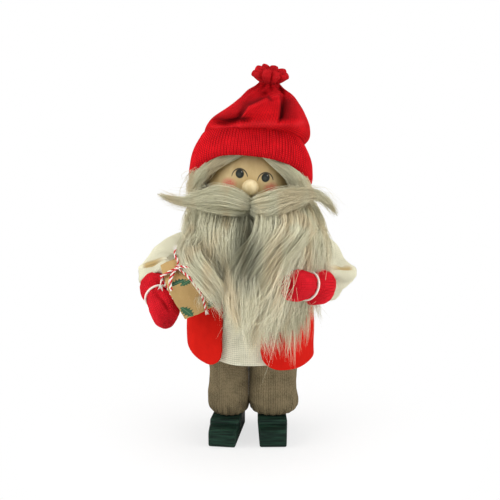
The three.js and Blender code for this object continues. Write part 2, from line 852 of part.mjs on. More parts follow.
function hatTuft() {
  const [x, y, z] = hatNeck;
  const bottom = z + seatGap;
  const stem = tieThickness + 2 * seatGap;
  const stations = [
    [0, stemRadius, 0],
    [stem, stemRadius, 0],
    [stem + tuftHeight * 0.2, hatNeckRadius, 0.12],
    [stem + tuftHeight * 0.5, tuftRadius, 0.18],
    [tuftHeight * 0.9, tuftRadius * 0.98, 0.2],
    [tuftHeight, tuftRadius * 0.7, 0.24],
  ];
  const sides = 4 * tuftPleats;
  const rings = stations.map(([height, radius, pleat]) =>
    Array.from({ length: sides }, (_, i) => {
      const turn = (i / sides) * 2 * Math.PI;
      const reach = radius * (1 - pleat + pleat * Math.cos(tuftPleats * turn));
      return v3(x + reach * Math.cos(turn), y + reach * Math.sin(turn), bottom + height);
    }),
  );
  return inHeadPlace(skin(rings));
}

function hatTie() {
  const [x, y, z] = hatNeck;
  const reach = stemRadius + seatGap + tieThickness / 2;
  const middle = v3(x, y, z + 2 * seatGap + tieThickness / 2);
  return inHeadPlace(hoop(middle, v3(reach, 0, 0), v3(0, reach, 0), tieThickness / 2, 16, 5));
}

// Wool: hair round the sides and back, a moustache of two combed locks, and the beard

function hairSolid(grow = 0) {
  const outside = inHeadPlace(ball([0, 0, 0], headRadius + hairThickness + grow, 18, 11));
  const reach = 3 * headRadius;
  const cap = inHatPlace(new THREE.BoxGeometry(reach, reach, reach).translate(0, 0, reach / 2 + skirtHeight - seatGap + grow));
  const under = inHeadPlace(new THREE.BoxGeometry(reach, reach, reach).translate(0, 0, -reach / 2 - hairDrop - grow));
  const chin = new THREE.BoxGeometry(reach, reach, reach);
  chin.translate(0, headCentre.y - reach / 2 - 4, beardTop + seatGap - grow - reach / 2);
  const face = new THREE.SphereGeometry(1, 12, 8);
  face.scale(headRadius * 0.83 - grow, headRadius * 0.75 - grow, headRadius * 0.68 - grow);
  face.translate(0, -headRadius * 1.1, 2);
  return cut(outside, cap, under, chin, inHeadPlace(face));
}

function hair() {
  return cut(hairSolid(), skull(seatGap));
}

// Stations down the beard: its two edges in shares of its span, its back and curve in half depths of the
// torso that it hangs on, and its thickness
const beardStations = [
  [0, -0.33, 0.33, 0.912, 1.35, 0.333],
  [0.07, -0.418, 0.44, 0.971, 1.76, 0.583],
  [0.18, -0.484, 0.516, 1.04, 2.5, 0.833],
  [0.3, -0.473, 0.505, 1.1, 3.23, 1],
  [0.45, -0.319, 0.407, 1.13, 3.23, 1],
  [0.62, -0.22, 0.374, 1.14, 3.23, 0.917],
  [0.8, -0.121, 0.352, 1.14, 3.23, 0.75],
  [0.93, 0.011, 0.308, 1.14, 3.23, 0.5],
  [1, 0.088, 0.231, 1.15, 3.23, 0.25],
];

function beardSolid(grow = 0) {
  const sides = 24;
  const rings = beardStations.map(([share, right, left, back, curve, thick], i) => {
    const z = beardTop - share * beardLength + (i === 0 ? grow : 0);
    const middle = ((right + left) / 2) * beardSpan;
    const half = ((left - right) / 2) * beardSpan + grow;
    return Array.from({ length: sides }, (_, j) => {
      const turn = (j / sides) * 2 * Math.PI;
      const x = middle + half * Math.cos(turn);
      const lens = Math.sin(turn) < 0 ? thick * beardThickness + grow : beardThickness / 8 + grow;
      const hang = back * torsoHalfDepth + headForward - (x * x) / (2 * curve * torsoHalfDepth);
      return v3(x, lens * Math.sin(turn) - hang, z);
    });
  });
  return skin(rings);
}

// The beard parts round the parcel and the mitten that lie against it.
function beard() {
  return cut(beardSolid(), parcelRoom(), mittenBag(left, seatGap), mittenBand(left, seatGap), mittenBag(right, seatGap));
}

// Shares of the moustache lock's length: half depth and half height.
const moustacheStations = [
  [0, 0.5, 0.5],
  [0.1, 0.75, 0.9],
  [0.25, 0.8, 0.98],
  [0.42, 0.62, 0.74],
  [0.6, 0.38, 0.4],
  [0.8, 0.16, 0.18],
  [1, 0.05, 0.05],
];

// Places along the lock: share of its reach, then forwards and upwards in head radii, for either side
const moustachePath = [
  [0.02, 1.33, -0.31, -0.31],
  [0.12, 1.4, -0.24, -0.3],
  [0.3, 1.35, -0.18, -0.15],
  [0.46, 1.22, -0.23, -0.03],
  [0.62, 1.05, -0.34, 0.02],
  [0.8, 0.86, -0.42, -0.06],
  [1, 0.69, -0.34, -0.5],
];

function moustache(side) {
  const points = moustachePath.map(([share, forward, riseRight, riseLeft]) => {
    const rise = side > 0 ? riseLeft : riseRight;
    return v3(side * moustacheReach * share, -headRadius * forward, headRadius * rise);
  });
  const path = new THREE.CatmullRomCurve3(points);
  const lock = sweep(path, 14, 12, (share) => {
    const [deep, high] = between(moustacheStations, share);
    return [moustacheRadius * deep, moustacheRadius * high];
  });
  const bead = inHeadPlace(ball(noseCentre, noseRadius + seatGap, 12, 8));
  const reach = 2 * moustacheReach;
  const parting = new THREE.BoxGeometry(reach, reach, reach).translate(side * (seatGap / 2 - reach / 2), 0, 0);
  return cut(inHeadPlace(lock), inHeadPlace(parting), beardSolid(seatGap), bead, skull(seatGap), hairSolid(seatGap));
}

// Materials

const paint = (colour, roughness = 0.9) => new THREE.MeshStandardMaterial({ color: colour, roughness, metalness: 0 });
const materials = {
  shoePaint: paint(0x12231f, 0.55),
  bareWood: paint(0xd2ae79, 0.7),
  facePaint: paint(0xd8b88a, 0.6),
  steel: new THREE.MeshStandardMaterial({ color: 0x8c8c8c, roughness: 0.4, metalness: 1 }),
  wadding: paint(0xe9e6dc, 1),
  trouserKnit: paint(0x75644f),
  jumperKnit: paint(0xe3dfc8),
  vestFelt: paint(0xd4190f),
  redKnit: paint(0xc8101c),
  whiteBand: paint(0xf0ece2, 0.7),
  wool: paint(0xaea794, 0.95),
  card: paint(0xb08a5a),
  wrapPaper: paint(0xb99a66, 0.75),
  twine: paint(0xc93a36),
};

// Assembly: each moving body is a group that turns about its own pivot

function bodyAt(name, pivot, parent) {
  const turning = new THREE.Group();
  turning.userData.pivot = name;
  const fixed = new THREE.Group();
  turning.position.copy(pivot);
  fixed.position.copy(pivot).negate();
  turning.add(fixed);
  parent.add(turning);
  return fixed;
}

function add(body, name, geometry, material) {
  const mesh = new THREE.Mesh(geometry, material);
  mesh.name = name;
  body.add(mesh);
}

const figure = new THREE.Group();
const trunk = new THREE.Group();
figure.add(trunk);

add(trunk, "right_shoe", shoe(-1, -rightShoeYaw), materials.shoePaint);
add(trunk, "left_shoe", shoe(1, leftShoeYaw), materials.shoePaint);
add(trunk, "right_leg_dowel", legDowel(-1), materials.bareWood);
add(trunk, "left_leg_dowel", legDowel(1), materials.bareWood);
add(
  trunk,
  "hip_block",
  cut(hipBlockSolid(), legDowel(-1, seatGap), legDowel(1, seatGap), spine(seatGap)),
  materials.bareWood,
);
add(trunk, "spine_dowel", cut(spine(), shoulderWire(seatGap)), materials.bareWood);
add(trunk, "shoulder_wire", shoulderWire(), materials.steel);
add(trunk, "trousers", trousers(), materials.trouserKnit);
add(trunk, "right_leg_wadding", legWadding(-1), materials.wadding);
add(trunk, "left_leg_wadding", legWadding(1), materials.wadding);
add(trunk, "torso_wadding", torsoWadding(), materials.wadding);
add(trunk, "jumper", jumper(), materials.jumperKnit);
add(trunk, "waistcoat", waistcoat(), materials.vestFelt);

const headBody = bodyAt("head", v3(0, -headForward, headBottom), trunk);
add(headBody, "head", head(), materials.facePaint);
add(headBody, "nose_bead", nose(), materials.bareWood);
add(headBody, "hair", hair(), materials.wool);
add(headBody, "beard", beard(), materials.wool);
add(headBody, "right_moustache", moustache(-1), materials.wool);
add(headBody, "left_moustache", moustache(1), materials.wool);
add(headBody, "hat_cuff", hatCuff(), materials.redKnit);
add(headBody, "hat_crown", hatCrown(), materials.redKnit);
add(headBody, "hat_tuft", hatTuft(), materials.redKnit);
add(headBody, "hat_tie", hatTie(), materials.redKnit);

[
  [right, "right", parcelSeat()],
  [left, "left", []],
].forEach(([arm, name, obstacles]) => {
  const armBody = bodyAt(`${name}_arm`, arm.shoulder, trunk);
  add(armBody, `${name}_sleeve`, sleeve(arm), materials.jumperKnit);
  add(armBody, `${name}_arm_wire`, armWire(arm), materials.steel);
  const handBody = bodyAt(`${name}_hand`, arm.pivot, armBody);
  add(handBody, `${name}_mitten`, mitten(arm, ...obstacles), materials.redKnit);
  add(handBody, `${name}_mitten_band`, mittenBand(arm), materials.whiteBand);
  add(handBody, `${name}_hand_wire`, handWire(arm), materials.steel);
  if (arm === right) {
    add(handBody, "parcel_box", inParcelPlace(parcelBrick(paperThickness + seatGap)), materials.card);
    add(handBody, "parcel_paper", inParcelPlace(parcelPaper()), materials.wrapPaper);
    add(handBody, "parcel_twine", inParcelPlace(parcelTwine()), materials.twine);
  }
});

// The origin is on the floor, under the middle of the whole figure's box.
const reach = new THREE.Box3().setFromObject(figure);
const middle = reach.getCenter(v3(0, 0, 0));
figure.position.set(-middle.x, -middle.y, 0);

export default figure;
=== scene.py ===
import math

import bpy
import numpy as np
from numpy import cos, sin
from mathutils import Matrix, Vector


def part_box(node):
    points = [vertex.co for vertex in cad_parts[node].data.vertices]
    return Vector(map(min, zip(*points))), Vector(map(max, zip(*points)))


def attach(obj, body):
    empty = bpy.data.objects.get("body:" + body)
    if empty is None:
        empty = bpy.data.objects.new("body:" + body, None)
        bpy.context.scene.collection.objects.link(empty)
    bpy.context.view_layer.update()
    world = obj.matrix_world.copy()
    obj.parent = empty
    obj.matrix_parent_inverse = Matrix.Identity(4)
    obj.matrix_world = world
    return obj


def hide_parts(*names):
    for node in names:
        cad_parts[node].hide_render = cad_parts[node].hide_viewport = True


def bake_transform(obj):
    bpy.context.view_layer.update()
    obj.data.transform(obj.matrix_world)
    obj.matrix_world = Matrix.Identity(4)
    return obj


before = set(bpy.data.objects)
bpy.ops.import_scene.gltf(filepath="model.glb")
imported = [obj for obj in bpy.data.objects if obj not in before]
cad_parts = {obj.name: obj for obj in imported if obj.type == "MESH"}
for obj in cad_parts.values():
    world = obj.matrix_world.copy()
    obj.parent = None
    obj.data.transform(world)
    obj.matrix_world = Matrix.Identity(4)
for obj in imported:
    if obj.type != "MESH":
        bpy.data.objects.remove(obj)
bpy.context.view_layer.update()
bpy.ops.object.select_all(action="DESELECT")

spineLow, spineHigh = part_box("spine_dowel")
behind = 0.001  # the legs' axis lies this far behind the spine
axis = np.array([(spineLow.x + spineHigh.x) / 2, (spineLow.y + spineHigh.y) / 2 + behind, 0])
fullTurn = 2 * math.pi
print("frame read")


def inFrame(points):
    return np.asarray(points, float) * 0.001 + axis  # figure millimetres to frame metres


def choose(piece):
    bpy.ops.object.select_all(action="DESELECT")
    piece.select_set(True)
    bpy.context.view_layer.objects.active = piece


def ease(low, high, at):
    share = np.clip((at - low) / (high - low), 0, 1)
    return share * share * (3 - 2 * share)


def bell(at, middle, width):
    return np.exp(-(((at - middle) / width) ** 2))


def flow(at, stations):
    rows = np.asarray(stations, float)
    at = np.asarray(at, float)
    knots, values = rows[:, 0], rows[:, 1:]
    slopes = np.gradient(values, knots, axis=0)
    k = np.clip(np.searchsorted(knots, at) - 1, 0, len(knots) - 2)
    span = (knots[k + 1] - knots[k])[:, None]
    t = np.clip((at - knots[k])[:, None] / span, 0, 1)
    near = values[k] * (1 + 2 * t) * (1 - t) ** 2 + slopes[k] * span * t * (1 - t) ** 2
    return near + values[k + 1] * t * t * (3 - 2 * t) + slopes[k + 1] * span * t * t * (t - 1)


def ripple(points, size, seed):
    rng = np.random.default_rng(seed)
    ways = rng.normal(size=(8, 3))
    ways /= np.linalg.norm(ways, axis=1)[:, None]
    turns = points @ ways.T * (fullTurn / size) * rng.uniform(0.6, 1.5, 8) + rng.uniform(0, 6.28, 8)
    return sin(turns).sum(1) / 4


def unit(vectors):
    return vectors / np.maximum(np.linalg.norm(vectors, axis=-1, keepdims=True), 1e-9)


def turned(points, about, degrees):
    c, s = math.cos(math.radians(degrees)), math.sin(math.radians(degrees))
    rows = {
        "X": [[1, 0, 0], [0, c, -s], [0, s, c]],
        "Y": [[c, 0, s], [0, 1, 0], [-s, 0, c]],
        "Z": [[c, -s, 0], [s, c, 0], [0, 0, 1]],
    }
    return np.asarray(points, float) @ np.array(rows[about]).T


def oval(turn, wide, deep, z):
    return np.stack([wide * cos(turn), deep * sin(turn), z + 0 * turn], 1)


def named(name):
    bpy.context.object.name = name
    return bpy.context.object


def pointsOf(piece):
    return np.array([vertex.co[:] for vertex in piece.data.vertices])


def placePoints(mesh, points):
    mesh.vertices.foreach_set("co", inFrame(points).astype(np.float32).ravel())


def rolledSheet(name, around, along, shape, *about):
    bpy.ops.mesh.primitive_grid_add(x_subdivisions=around, y_subdivisions=along, size=1, location=(0, 0, 0))
    piece = named(name)
    u, v, _ = pointsOf(piece).T + 0.5
    placePoints(piece.data, shape(u, v, *about))
    bpy.ops.object.mode_set(mode="EDIT")
    bpy.ops.mesh.select_all(action="SELECT")
    bpy.ops.mesh.remove_doubles(threshold=0.00002)
    bpy.ops.mesh.normals_make_consistent(inside=False)
    bpy.ops.object.mode_set(mode="OBJECT")
    bpy.ops.object.shade_smooth()
    return piece


def modify(piece, kind, **settings):
    choose(piece)
    modifier = piece.modifiers.new(kind.title(), kind)
    for key, value in settings.items():
        setattr(modifier, key, value)
    bpy.ops.object.modifier_apply(modifier=modifier.name)


def bevel(piece, width, segments, degrees):
    edges = dict(limit_method="ANGLE", angle_limit=math.radians(degrees))
    modify(piece, "BEVEL", width=width, segments=segments, **edges)


def put(socket, value):
    if isinstance(value, bpy.types.NodeSocket):
        socket.id_data.links.new(value, socket)
    elif socket.type == "RGBA" and len(value) == 3:
        socket.default_value = (*value, 1)
    else:
        socket.default_value = value


def newNode(kind, *values):
    tree = next(value.id_data for value in values if isinstance(value, bpy.types.NodeSocket))
    return tree.nodes.new("ShaderNode" + kind)


def calc(operation, *values, kind="Math"):
    made = newNode(kind, *values)
    made.operation = operation
    for socket, value in zip(made.inputs, values):
        put(socket, value)
    return made.outputs["Value" if operation == "LENGTH" else 0]


def clamped(value):
    return calc("MINIMUM", calc("MAXIMUM", value, 0.0), 1.0)


def tint(share, first, second, way="MIX"):
    made = newNode("Mix", share, first, second)
    made.data_type = "RGBA"
    made.blend_type = way
    for index, value in zip((0, 6, 7), (share, first, second)):  # sockets for colours
        put(made.inputs[index], value)
    return made.outputs[2]


def span(value, low, high, to=(0, 1)):
    made = newNode("MapRange", value)
    made.interpolation_type = "SMOOTHSTEP"
    for socket, number in zip(made.inputs, (value, low, high, *to)):
        put(socket, number)
    return made.outputs[0]


def noise(vector, scale, detail=2.0, rough=0.5):
    made = newNode("TexNoise", vector)
    for key, value in dict(Vector=vector, Scale=scale, Detail=detail, Roughness=rough).items():
        put(made.inputs[key], value)
    return made.outputs["Fac"]


def coordinates(tree, kind):
    return tree.nodes.new("ShaderNodeTexCoord").outputs[kind]


def parts(vector):
    made = newNode("SeparateXYZ", vector)
    put(made.inputs[0], vector)
    return made.outputs


def newGroup(name, inputs, outputs):
    tree = bpy.data.node_groups.new(name, "ShaderNodeTree")
    for label, start in inputs.items():
        kind = "NodeSocketVector" if isinstance(start, tuple) else "NodeSocketFloat"
        tree.interface.new_socket(name=label, in_out="INPUT", socket_type=kind).default_value = start
    for label in outputs:
        tree.interface.new_socket(name=label, in_out="OUTPUT", socket_type="NodeSocketFloat")
    return tree, tree.nodes.new("NodeGroupInput").outputs, tree.nodes.new("NodeGroupOutput").inputs


def useGroup(tree, group, **values):
    made = tree.nodes.new("ShaderNodeGroup")
    made.node_tree = group
    for key, value in values.items():
        put(made.inputs[key], value)
    return made.outputs


def shaderOf(made):
    return made.node_tree.nodes["Principled BSDF"]


def paint(shader, colour):
    put(shader.inputs["Base Color"], colour)


def newMaterial(name, colour, roughness=0.9, specular=0.2):
    made = bpy.data.materials.new(name)
    made.use_nodes = True
    shader = shaderOf(made)
    paint(shader, colour)
    put(shader.inputs["Roughness"], roughness)
    put(shader.inputs["Specular IOR Level"], specular)
    return made, made.node_tree, shader


def bumped(shader, height, strength, distance):
    made = newNode("Bump", height)
    for key, value in dict(Strength=strength, Distance=distance, Height=height).items():
        put(made.inputs[key], value)
    put(shader.inputs["Normal"], made.outputs[0])


def dress(piece, made):
    piece.data.materials.clear()
    piece.data.materials.append(made)


def settle(piece, made, body, node):
    dress(piece, made)
    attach(piece, body)
    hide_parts(node)


def settleBetween(piece, start, end, node):
    tuple(inFrame(start))
    tuple(inFrame(end))
    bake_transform(piece)
    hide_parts(node)


stitches = dict(Wales=100.0, Courses=60.0, Slant=0.6)
knitStitch, given, shown = newGroup("knitStitch", stitches, ["Height", "Shade"])
u, v, _ = parts(coordinates(knitStitch, "UV"))
column = calc("FRACT", calc("MULTIPLY", u, given["Wales"]))
off = calc("ABSOLUTE", calc("MULTIPLY_ADD", column, 2.0, -1.0))  # 0 mid wale, 1 between wales
leg = calc("SUBTRACT", 1.0, calc("ABSOLUTE", calc("MULTIPLY_ADD", off, 2.0, -0.9)))
row = calc("MULTIPLY_ADD", v, given["Courses"], calc("MULTIPLY", off, given["Slant"]))
loop = calc("COSINE", calc("MULTIPLY", row, fullTurn))
loop = calc("MULTIPLY_ADD", loop, 0.5, 0.5)
height = calc("MULTIPLY", leg, calc("MULTIPLY_ADD", loop, 0.7, 0.3))
put(shown["Height"], height)
put(shown["Shade"], span(height, 0.05, 0.6))

fibreFuzz, given, shown = newGroup("fibreFuzz", dict(Scale=600.0), ["Height", "Shade"])
where = coordinates(fibreFuzz, "Object")
fine = noise(where, given["Scale"], 3.0, 0.7)
broad = noise(where, calc("MULTIPLY", given["Scale"], 0.12), 2.0)
put(shown["Height"], fine)
put(shown["Shade"], calc("MULTIPLY_ADD", broad, 0.5, calc("MULTIPLY", fine, 0.5)))

woodGrain, given, shown = newGroup("woodGrain", dict(Along=(1.0, 1.0, 1.0)), ["Lines", "Cloud"])
where = calc("MULTIPLY", coordinates(woodGrain, "Object"), given["Along"], kind="VectorMath")
put(shown["Lines"], noise(where, 1.0, 4.0, 0.6))
put(shown["Cloud"], noise(where, 0.2, 2.0))

spotStart = dict(Centre=(0.0, 0.0, 0.0), Reach=(1.0, 1.0, 1.0), Soft=0.1)
paintedSpot, given, shown = newGroup("paintedSpot", spotStart, ["Mask", "Height"])
apart = calc("SUBTRACT", coordinates(paintedSpot, "Object"), given["Centre"], kind="VectorMath")
scaled = calc("DIVIDE", apart, given["Reach"], kind="VectorMath")
inward = calc("SUBTRACT", 1.0, calc("LENGTH", scaled, kind="VectorMath"))
put(shown["Mask"], clamped(calc("DIVIDE", inward, given["Soft"])))
put(shown["Height"], parts(scaled)[2])
print("shader groups made")


def knitMaterial(name, colour, dark, wales, courses, slant=0.6, depth=0.0004, strength=0.7):
    made, tree, shader = newMaterial(name, colour, 0.95, 0.06)
    stitch = useGroup(tree, knitStitch, Wales=wales, Courses=courses, Slant=slant)
    fuzz = useGroup(tree, fibreFuzz, Scale=900.0)
    shade = calc("MULTIPLY_ADD", stitch["Shade"], 0.8, calc("MULTIPLY_ADD", fuzz["Shade"], 1.3, -0.47))
    paint(shader, tint(clamped(shade), dark, colour))
    bumped(shader, calc("MULTIPLY_ADD", fuzz["Height"], 0.35, stitch["Height"]), strength, depth)
    return made


redCuffKnit = knitMaterial(
    "redCuffKnit", (1.0, 0.013, 0.022), (0.24, 0.001, 0.003), 113, 27, 0.5, 0.0009, 1.0
)
redCrownKnit = knitMaterial(
    "redCrownKnit", (0.92, 0.009, 0.015), (0.22, 0.001, 0.003), 118, 42, 0.25, 0.0006, 0.9
)
redMittenKnit = knitMaterial(
    "redMittenKnit", (0.98, 0.02, 0.036), (0.26, 0.002, 0.004), 40, 30, 0.8, 0.0006, 0.9
)
# the crown's fold attribute carries painted light: positive values paint shade into the folds, negative
# values paint a lighter red highlight
shader = shaderOf(redCrownKnit)
foldPaintedLight = redCrownKnit.node_tree.nodes.new("ShaderNodeAttribute")
foldPaintedLight.attribute_name = "fold"
knitted = shader.inputs["Base Color"].links[0].from_socket
paintedHighlight, paintedShade = (calc("MAXIMUM", calc("MULTIPLY", foldPaintedLight.outputs["Fac"], k), 0.0) for k in (-0.8, 0.94))
paint(shader, tint(paintedShade, tint(paintedHighlight, knitted, (0.95, 0.04, 0.05)), (0.05, 0.001, 0.002)))
for fuzzy in (redCuffKnit, redCrownKnit, redMittenKnit):
    for key, value in {"Weight": 0.2, "Roughness": 0.45, "Tint": (1, 0.03, 0.05)}.items():
        put(shaderOf(fuzzy).inputs["Sheen " + key], value)
jumperKnit = knitMaterial("jumperKnit", (0.9, 0.88, 0.7), (0.42, 0.41, 0.29), 168, 66, 0.2)
limpKnit = ((1.0, 0.965, 0.75), (0.78, 0.745, 0.52), 66, 34, 0.2, 0.0008, 0.9)
sleeveKnit, shadedRimKnit = (knitMaterial(name, *limpKnit) for name in ("sleeveKnit", "shadedRimKnit"))
shader = shaderOf(shadedRimKnit)
u, v, _ = parts(coordinates(shadedRimKnit.node_tree, "UV"))
atFront = calc("MULTIPLY", span(u, 0.02, 0.07), span(u, 0.27, 0.15))
rimShade = calc("MULTIPLY", calc("MULTIPLY", span(v, 0.84, 0.96), atFront), 0.85)
knitted = shader.inputs["Base Color"].links[0].from_socket
paint(shader, tint(rimShade, knitted, (0.56, 0.37, 0.12)))  # painted warm shade in the fold
trouserKnit = knitMaterial(
    "trouserKnit", (0.46, 0.365, 0.21), (0.02, 0.016, 0.008), 64, 60, 0.8, 0.0008, 1.0
)


def spot(tree, centre, reach, soft):
    reach = tuple(np.array(reach) * 0.001)
    return useGroup(tree, paintedSpot, Centre=tuple(inFrame(centre)), Reach=reach, Soft=soft)


feltRed, tree, shader = newMaterial("feltRed", (0.7, 0.012, 0.006), 0.95, 0.05)
fuzz = useGroup(tree, fibreFuzz, Scale=1400.0)
paint(shader, tint(fuzz["Shade"], (0.4, 0.006, 0.0035), (0.68, 0.015, 0.0085)))
bumped(shader, fuzz["Height"], 0.35, 0.0003)

bandWhite, tree, shader = newMaterial("bandWhite", (0.8, 0.76, 0.68), 0.7)
fuzz = useGroup(tree, fibreFuzz, Scale=2500.0)
bumped(shader, fuzz["Height"], 0.3, 0.0002)

woolStrand, tree, shader = newMaterial("woolStrand", (0.7, 0.65, 0.42), 0.6, 0.25)
lockTone, alongStrand, _ = parts(coordinates(tree, "UV"))
paleTowardTips = calc("MULTIPLY_ADD", alongStrand, 0.08, lockTone)  # tips are paler
tone = tint(calc("MINIMUM", paleTowardTips, 1.0), (0.53, 0.51, 0.345), (0.87, 0.84, 0.64))
stretched = calc("MULTIPLY", coordinates(tree, "Object"), (90, 90, 14), kind="VectorMath")
warm = span(noise(stretched, 1.0, 1.0), 0.42, 0.66)
tone = tint(calc("MULTIPLY", warm, 0.55), tone, tint(1.0, tone, (1.0, 0.84, 0.72), "MULTIPLY"))
# painted shade: the wool is darkened in the hollow under the nose and down the middle of the beard, where
# the roots are also darker
partingRootsAndShade = spot(tree, (-2.5, -46, 141), (12, 40, 34), 0.7)
underNoseShade = spot(tree, (0, -30, 160), (22, 16, 12), 0.8)
dark = calc("MAXIMUM", partingRootsAndShade["Mask"], underNoseShade["Mask"])
paint(shader, tint(calc("MULTIPLY", dark, 0.78), tone, (0.12, 0.128, 0.08)))

# the core wool is darker than the strands: painted shade of the deep wool under them
woolCore, tree, shader = newMaterial("woolCore", (0.4, 0.38, 0.25), 0.95, 0.05)
fuzz = useGroup(tree, fibreFuzz, Scale=500.0)
paint(shader, tint(fuzz["Shade"], (0.25, 0.24, 0.15), (0.55, 0.52, 0.36)))

shoePaint, tree, shader = newMaterial("shoePaint", (0.01, 0.026, 0.018), 0.6, 0.18)
grain = useGroup(tree, woodGrain, Along=(60.0, 420.0, 1100.0))
streaks = span(grain["Lines"], 0.38, 0.68)
paint(shader, tint(streaks, (0.002, 0.011, 0.007), (0.013, 0.044, 0.027)))
bumped(shader, grain["Lines"], 0.5, 0.0006)
put(shader.inputs["Roughness"], span(grain["Cloud"], 0.2, 0.8, (0.5, 0.75)))
print("cloth, wool and shoe materials made")


head = dict(radius=29, centre=(0, -1, 175), roll=5.5)


def headPlace(points):
    return turned(points, "Y", head["roll"]) + head["centre"]


def spotMask(tree, x, z, across, up, soft):
    y = -math.sqrt(max(head["radius"] ** 2 - x * x - z * z, 1))
    return spot(tree, headPlace((x, y, z)), (across, 12, up), soft)


faceWood, tree, shader = newMaterial("faceWood", (0.56, 0.42, 0.22), 0.55, 0.3)
grain = useGroup(tree, woodGrain, Along=(160.0, 160.0, 30.0))
skin = tint(span(grain["Lines"], 0.3, 0.75), (0.53, 0.385, 0.175), (0.63, 0.485, 0.245))
crayon = noise(coordinates(tree, "Object"), 900.0, 3.0, 0.8)
for x, z in ((-13.4, 0.9), (13.2, 0.4)):
    cheek = spotMask(tree, x, z + 0.9, 5.8, 4.4, 0.7)
    blush = calc("MULTIPLY", cheek["Mask"], span(crayon, 0.3, 0.62, (0.5, 1.0)))
    skin = tint(blush, skin, (0.62, 0.13, 0.09))
for x, z in ((-7.2, 9.0), (9.2, 8.0)):
    iris = spotMask(tree, x - 0.1, z - 0.1, 2.9, 3.0, 0.15)
    skin = tint(iris["Mask"], skin, (0.012, 0.016, 0.012))
    pupil = spotMask(tree, x - 0.5, z - 0.6, 1.5, 1.5, 0.5)
    skin = tint(calc("MULTIPLY", pupil["Mask"], 0.6), skin, (0.05, 0.056, 0.044))
    outer = spotMask(tree, x, z - 2.2, 5.4, 5.8, 0.07)
    inner = spotMask(tree, x, z - 2.9, 5.0, 5.6, 0.07)
    arch = calc("SUBTRACT", outer["Mask"], inner["Mask"])
    arch = calc("MULTIPLY", arch, span(outer["Height"], -0.05, 0.15))
    skin = tint(calc("MULTIPLY", arch, 0.95), skin, (0.015, 0.014, 0.011))
    # a painted highlight on each eye
    glint = spotMask(tree, x + 1.0, z + 1.2, 0.45, 0.45, 0.4)
    skin = tint(calc("MULTIPLY", glint["Mask"], 0.5), skin, (0.5, 0.5, 0.46))
paint(shader, skin)
bumped(shader, grain["Lines"], 0.12, 0.0003)

noseWood, tree, shader = newMaterial("noseWood", (0.62, 0.5, 0.26), 0.5, 0.35)
grain = useGroup(tree, woodGrain, Along=(220.0, 220.0, 50.0))
paint(shader, tint(span(grain["Lines"], 0.3, 0.75), (0.64, 0.5, 0.26), (0.8, 0.67, 0.4)))
print("face materials made")


shoe = dict(
    width=20, heel=17, toe=-29, toeHeight=12.5, ankleHeight=15.5, ankleReach=-17, toeRadius=6.5, legs=15
)


def makeShoe(name, side, yaw):
    bend = np.linspace(0, math.pi / 2, 9)
    r, tall, ankle = shoe["toeRadius"], shoe["toeHeight"], shoe["ankleReach"]
    heel, rise = shoe["heel"], shoe["ankleHeight"]
    top = [(heel, 0), (heel, rise), (ankle, rise), (ankle - 0.5, tall)]
    top += [(shoe["toe"] + r - r * math.sin(a), tall - r * 0.75 + r * 0.75 * math.cos(a)) for a in bend]
    top += [(shoe["toe"] + 2.2 - 2.2 * math.cos(a), 2.4 - 2.4 * math.sin(a)) for a in bend[1:]]
    bpy.ops.mesh.primitive_circle_add(vertices=len(top), fill_type="NGON", radius=1, location=(0, 0, 0))
    piece = named(name)
    for vertex, (y, z) in zip(piece.data.vertices, top):
        vertex.co = (-shoe["width"] / 2, y, z)
    bpy.ops.object.mode_set(mode="EDIT")
    bpy.ops.mesh.select_all(action="SELECT")
    bpy.ops.mesh.extrude_region_move(TRANSFORM_OT_translate={"value": (shoe["width"], 0, 0)})
    bpy.ops.mesh.select_all(action="SELECT")
    bpy.ops.mesh.normals_make_consistent(inside=False)
    bpy.ops.object.mode_set(mode="OBJECT")
    points = pointsOf(piece)
    points[:, 0] *= 1 - 0.1 * ease(-12, -29, points[:, 1]) - 0.06 * ease(4, 17, points[:, 1])
    placePoints(piece.data, turned(points, "Z", yaw) + (side * shoe["legs"], 0, 0))
    bevel(piece, 0.0011, 3, 25)
    bpy.ops.object.shade_smooth_by_angle(angle=math.radians(35))
    return piece


for name, node, side, yaw in (("rightShoe", "right_shoe", -1, -8), ("leftShoe", "left_shoe", 1, 1)):
    settle(makeShoe(name, side, yaw), shoePaint, "torso", node)
print("shoes made")


trouser = dict(halfDepth=14.4, hem=15.9, top=70)
trouserRows = [(0, 0.3, 0), (0.05, 0.5, -0.003), (0.1, 0.72, -0.002), (0.16, 0.87, 0.03), (0.26, 0.97, 0.11)]
trouserRows += [(0.4, 1.0, 0.24), (0.55, 0.985, 0.4), (0.75, 0.97, 0.63), (1, 0.99, 1)]
legs = {
    -1: dict(name="rightTrouserLeg", middle=-14, halfWidth=13.6),
    1: dict(name="leftTrouserLeg", middle=15.6, halfWidth=16.2),
}


def trouserLeg(u, v, side):
    leg = legs[side]
    size, rise = flow(v, trouserRows).T
    turn = fullTurn * u
    outward = side * cos(turn)
    z = trouser["hem"] + rise * (trouser["top"] - trouser["hem"])
    low = bell(z, trouser["hem"] + 2, 7)
    gather = 1 + 0.05 * low * cos(19 * turn + 2 * sin(turn * 2 + side)) * ease(0.05, 0.12, v)
    gather += 0.08 * bell(z, 25, 8) * ease(0.2, 0.9, outward)
    gather += 0.09 * ease(0.1, 0.8, -outward) * ease(18, 26, z)
    gather += 0.14 * ease(40, 58, z) * ease(0.1, 0.9, outward)
    points = oval(turn, leg["halfWidth"] * size * gather, trouser["halfDepth"] * size * gather, z)
    slack = 0.45 * ripple(points * (1, 1, 0.6), 16, 3 + side)
    slack += 0.35 * ripple(points * (0.5, 0.5, 1), 9, 8 + side)
    points += unit(points * (1, 1, 0)) * (slack * ease(0.1, 0.3, v))[:, None]
    points[:, 0] += leg["middle"]
    points[:, 0] = side * np.maximum(side * points[:, 0], 0.02 - 0.8 * side * ease(19, 24, points[:, 2]))
    return points


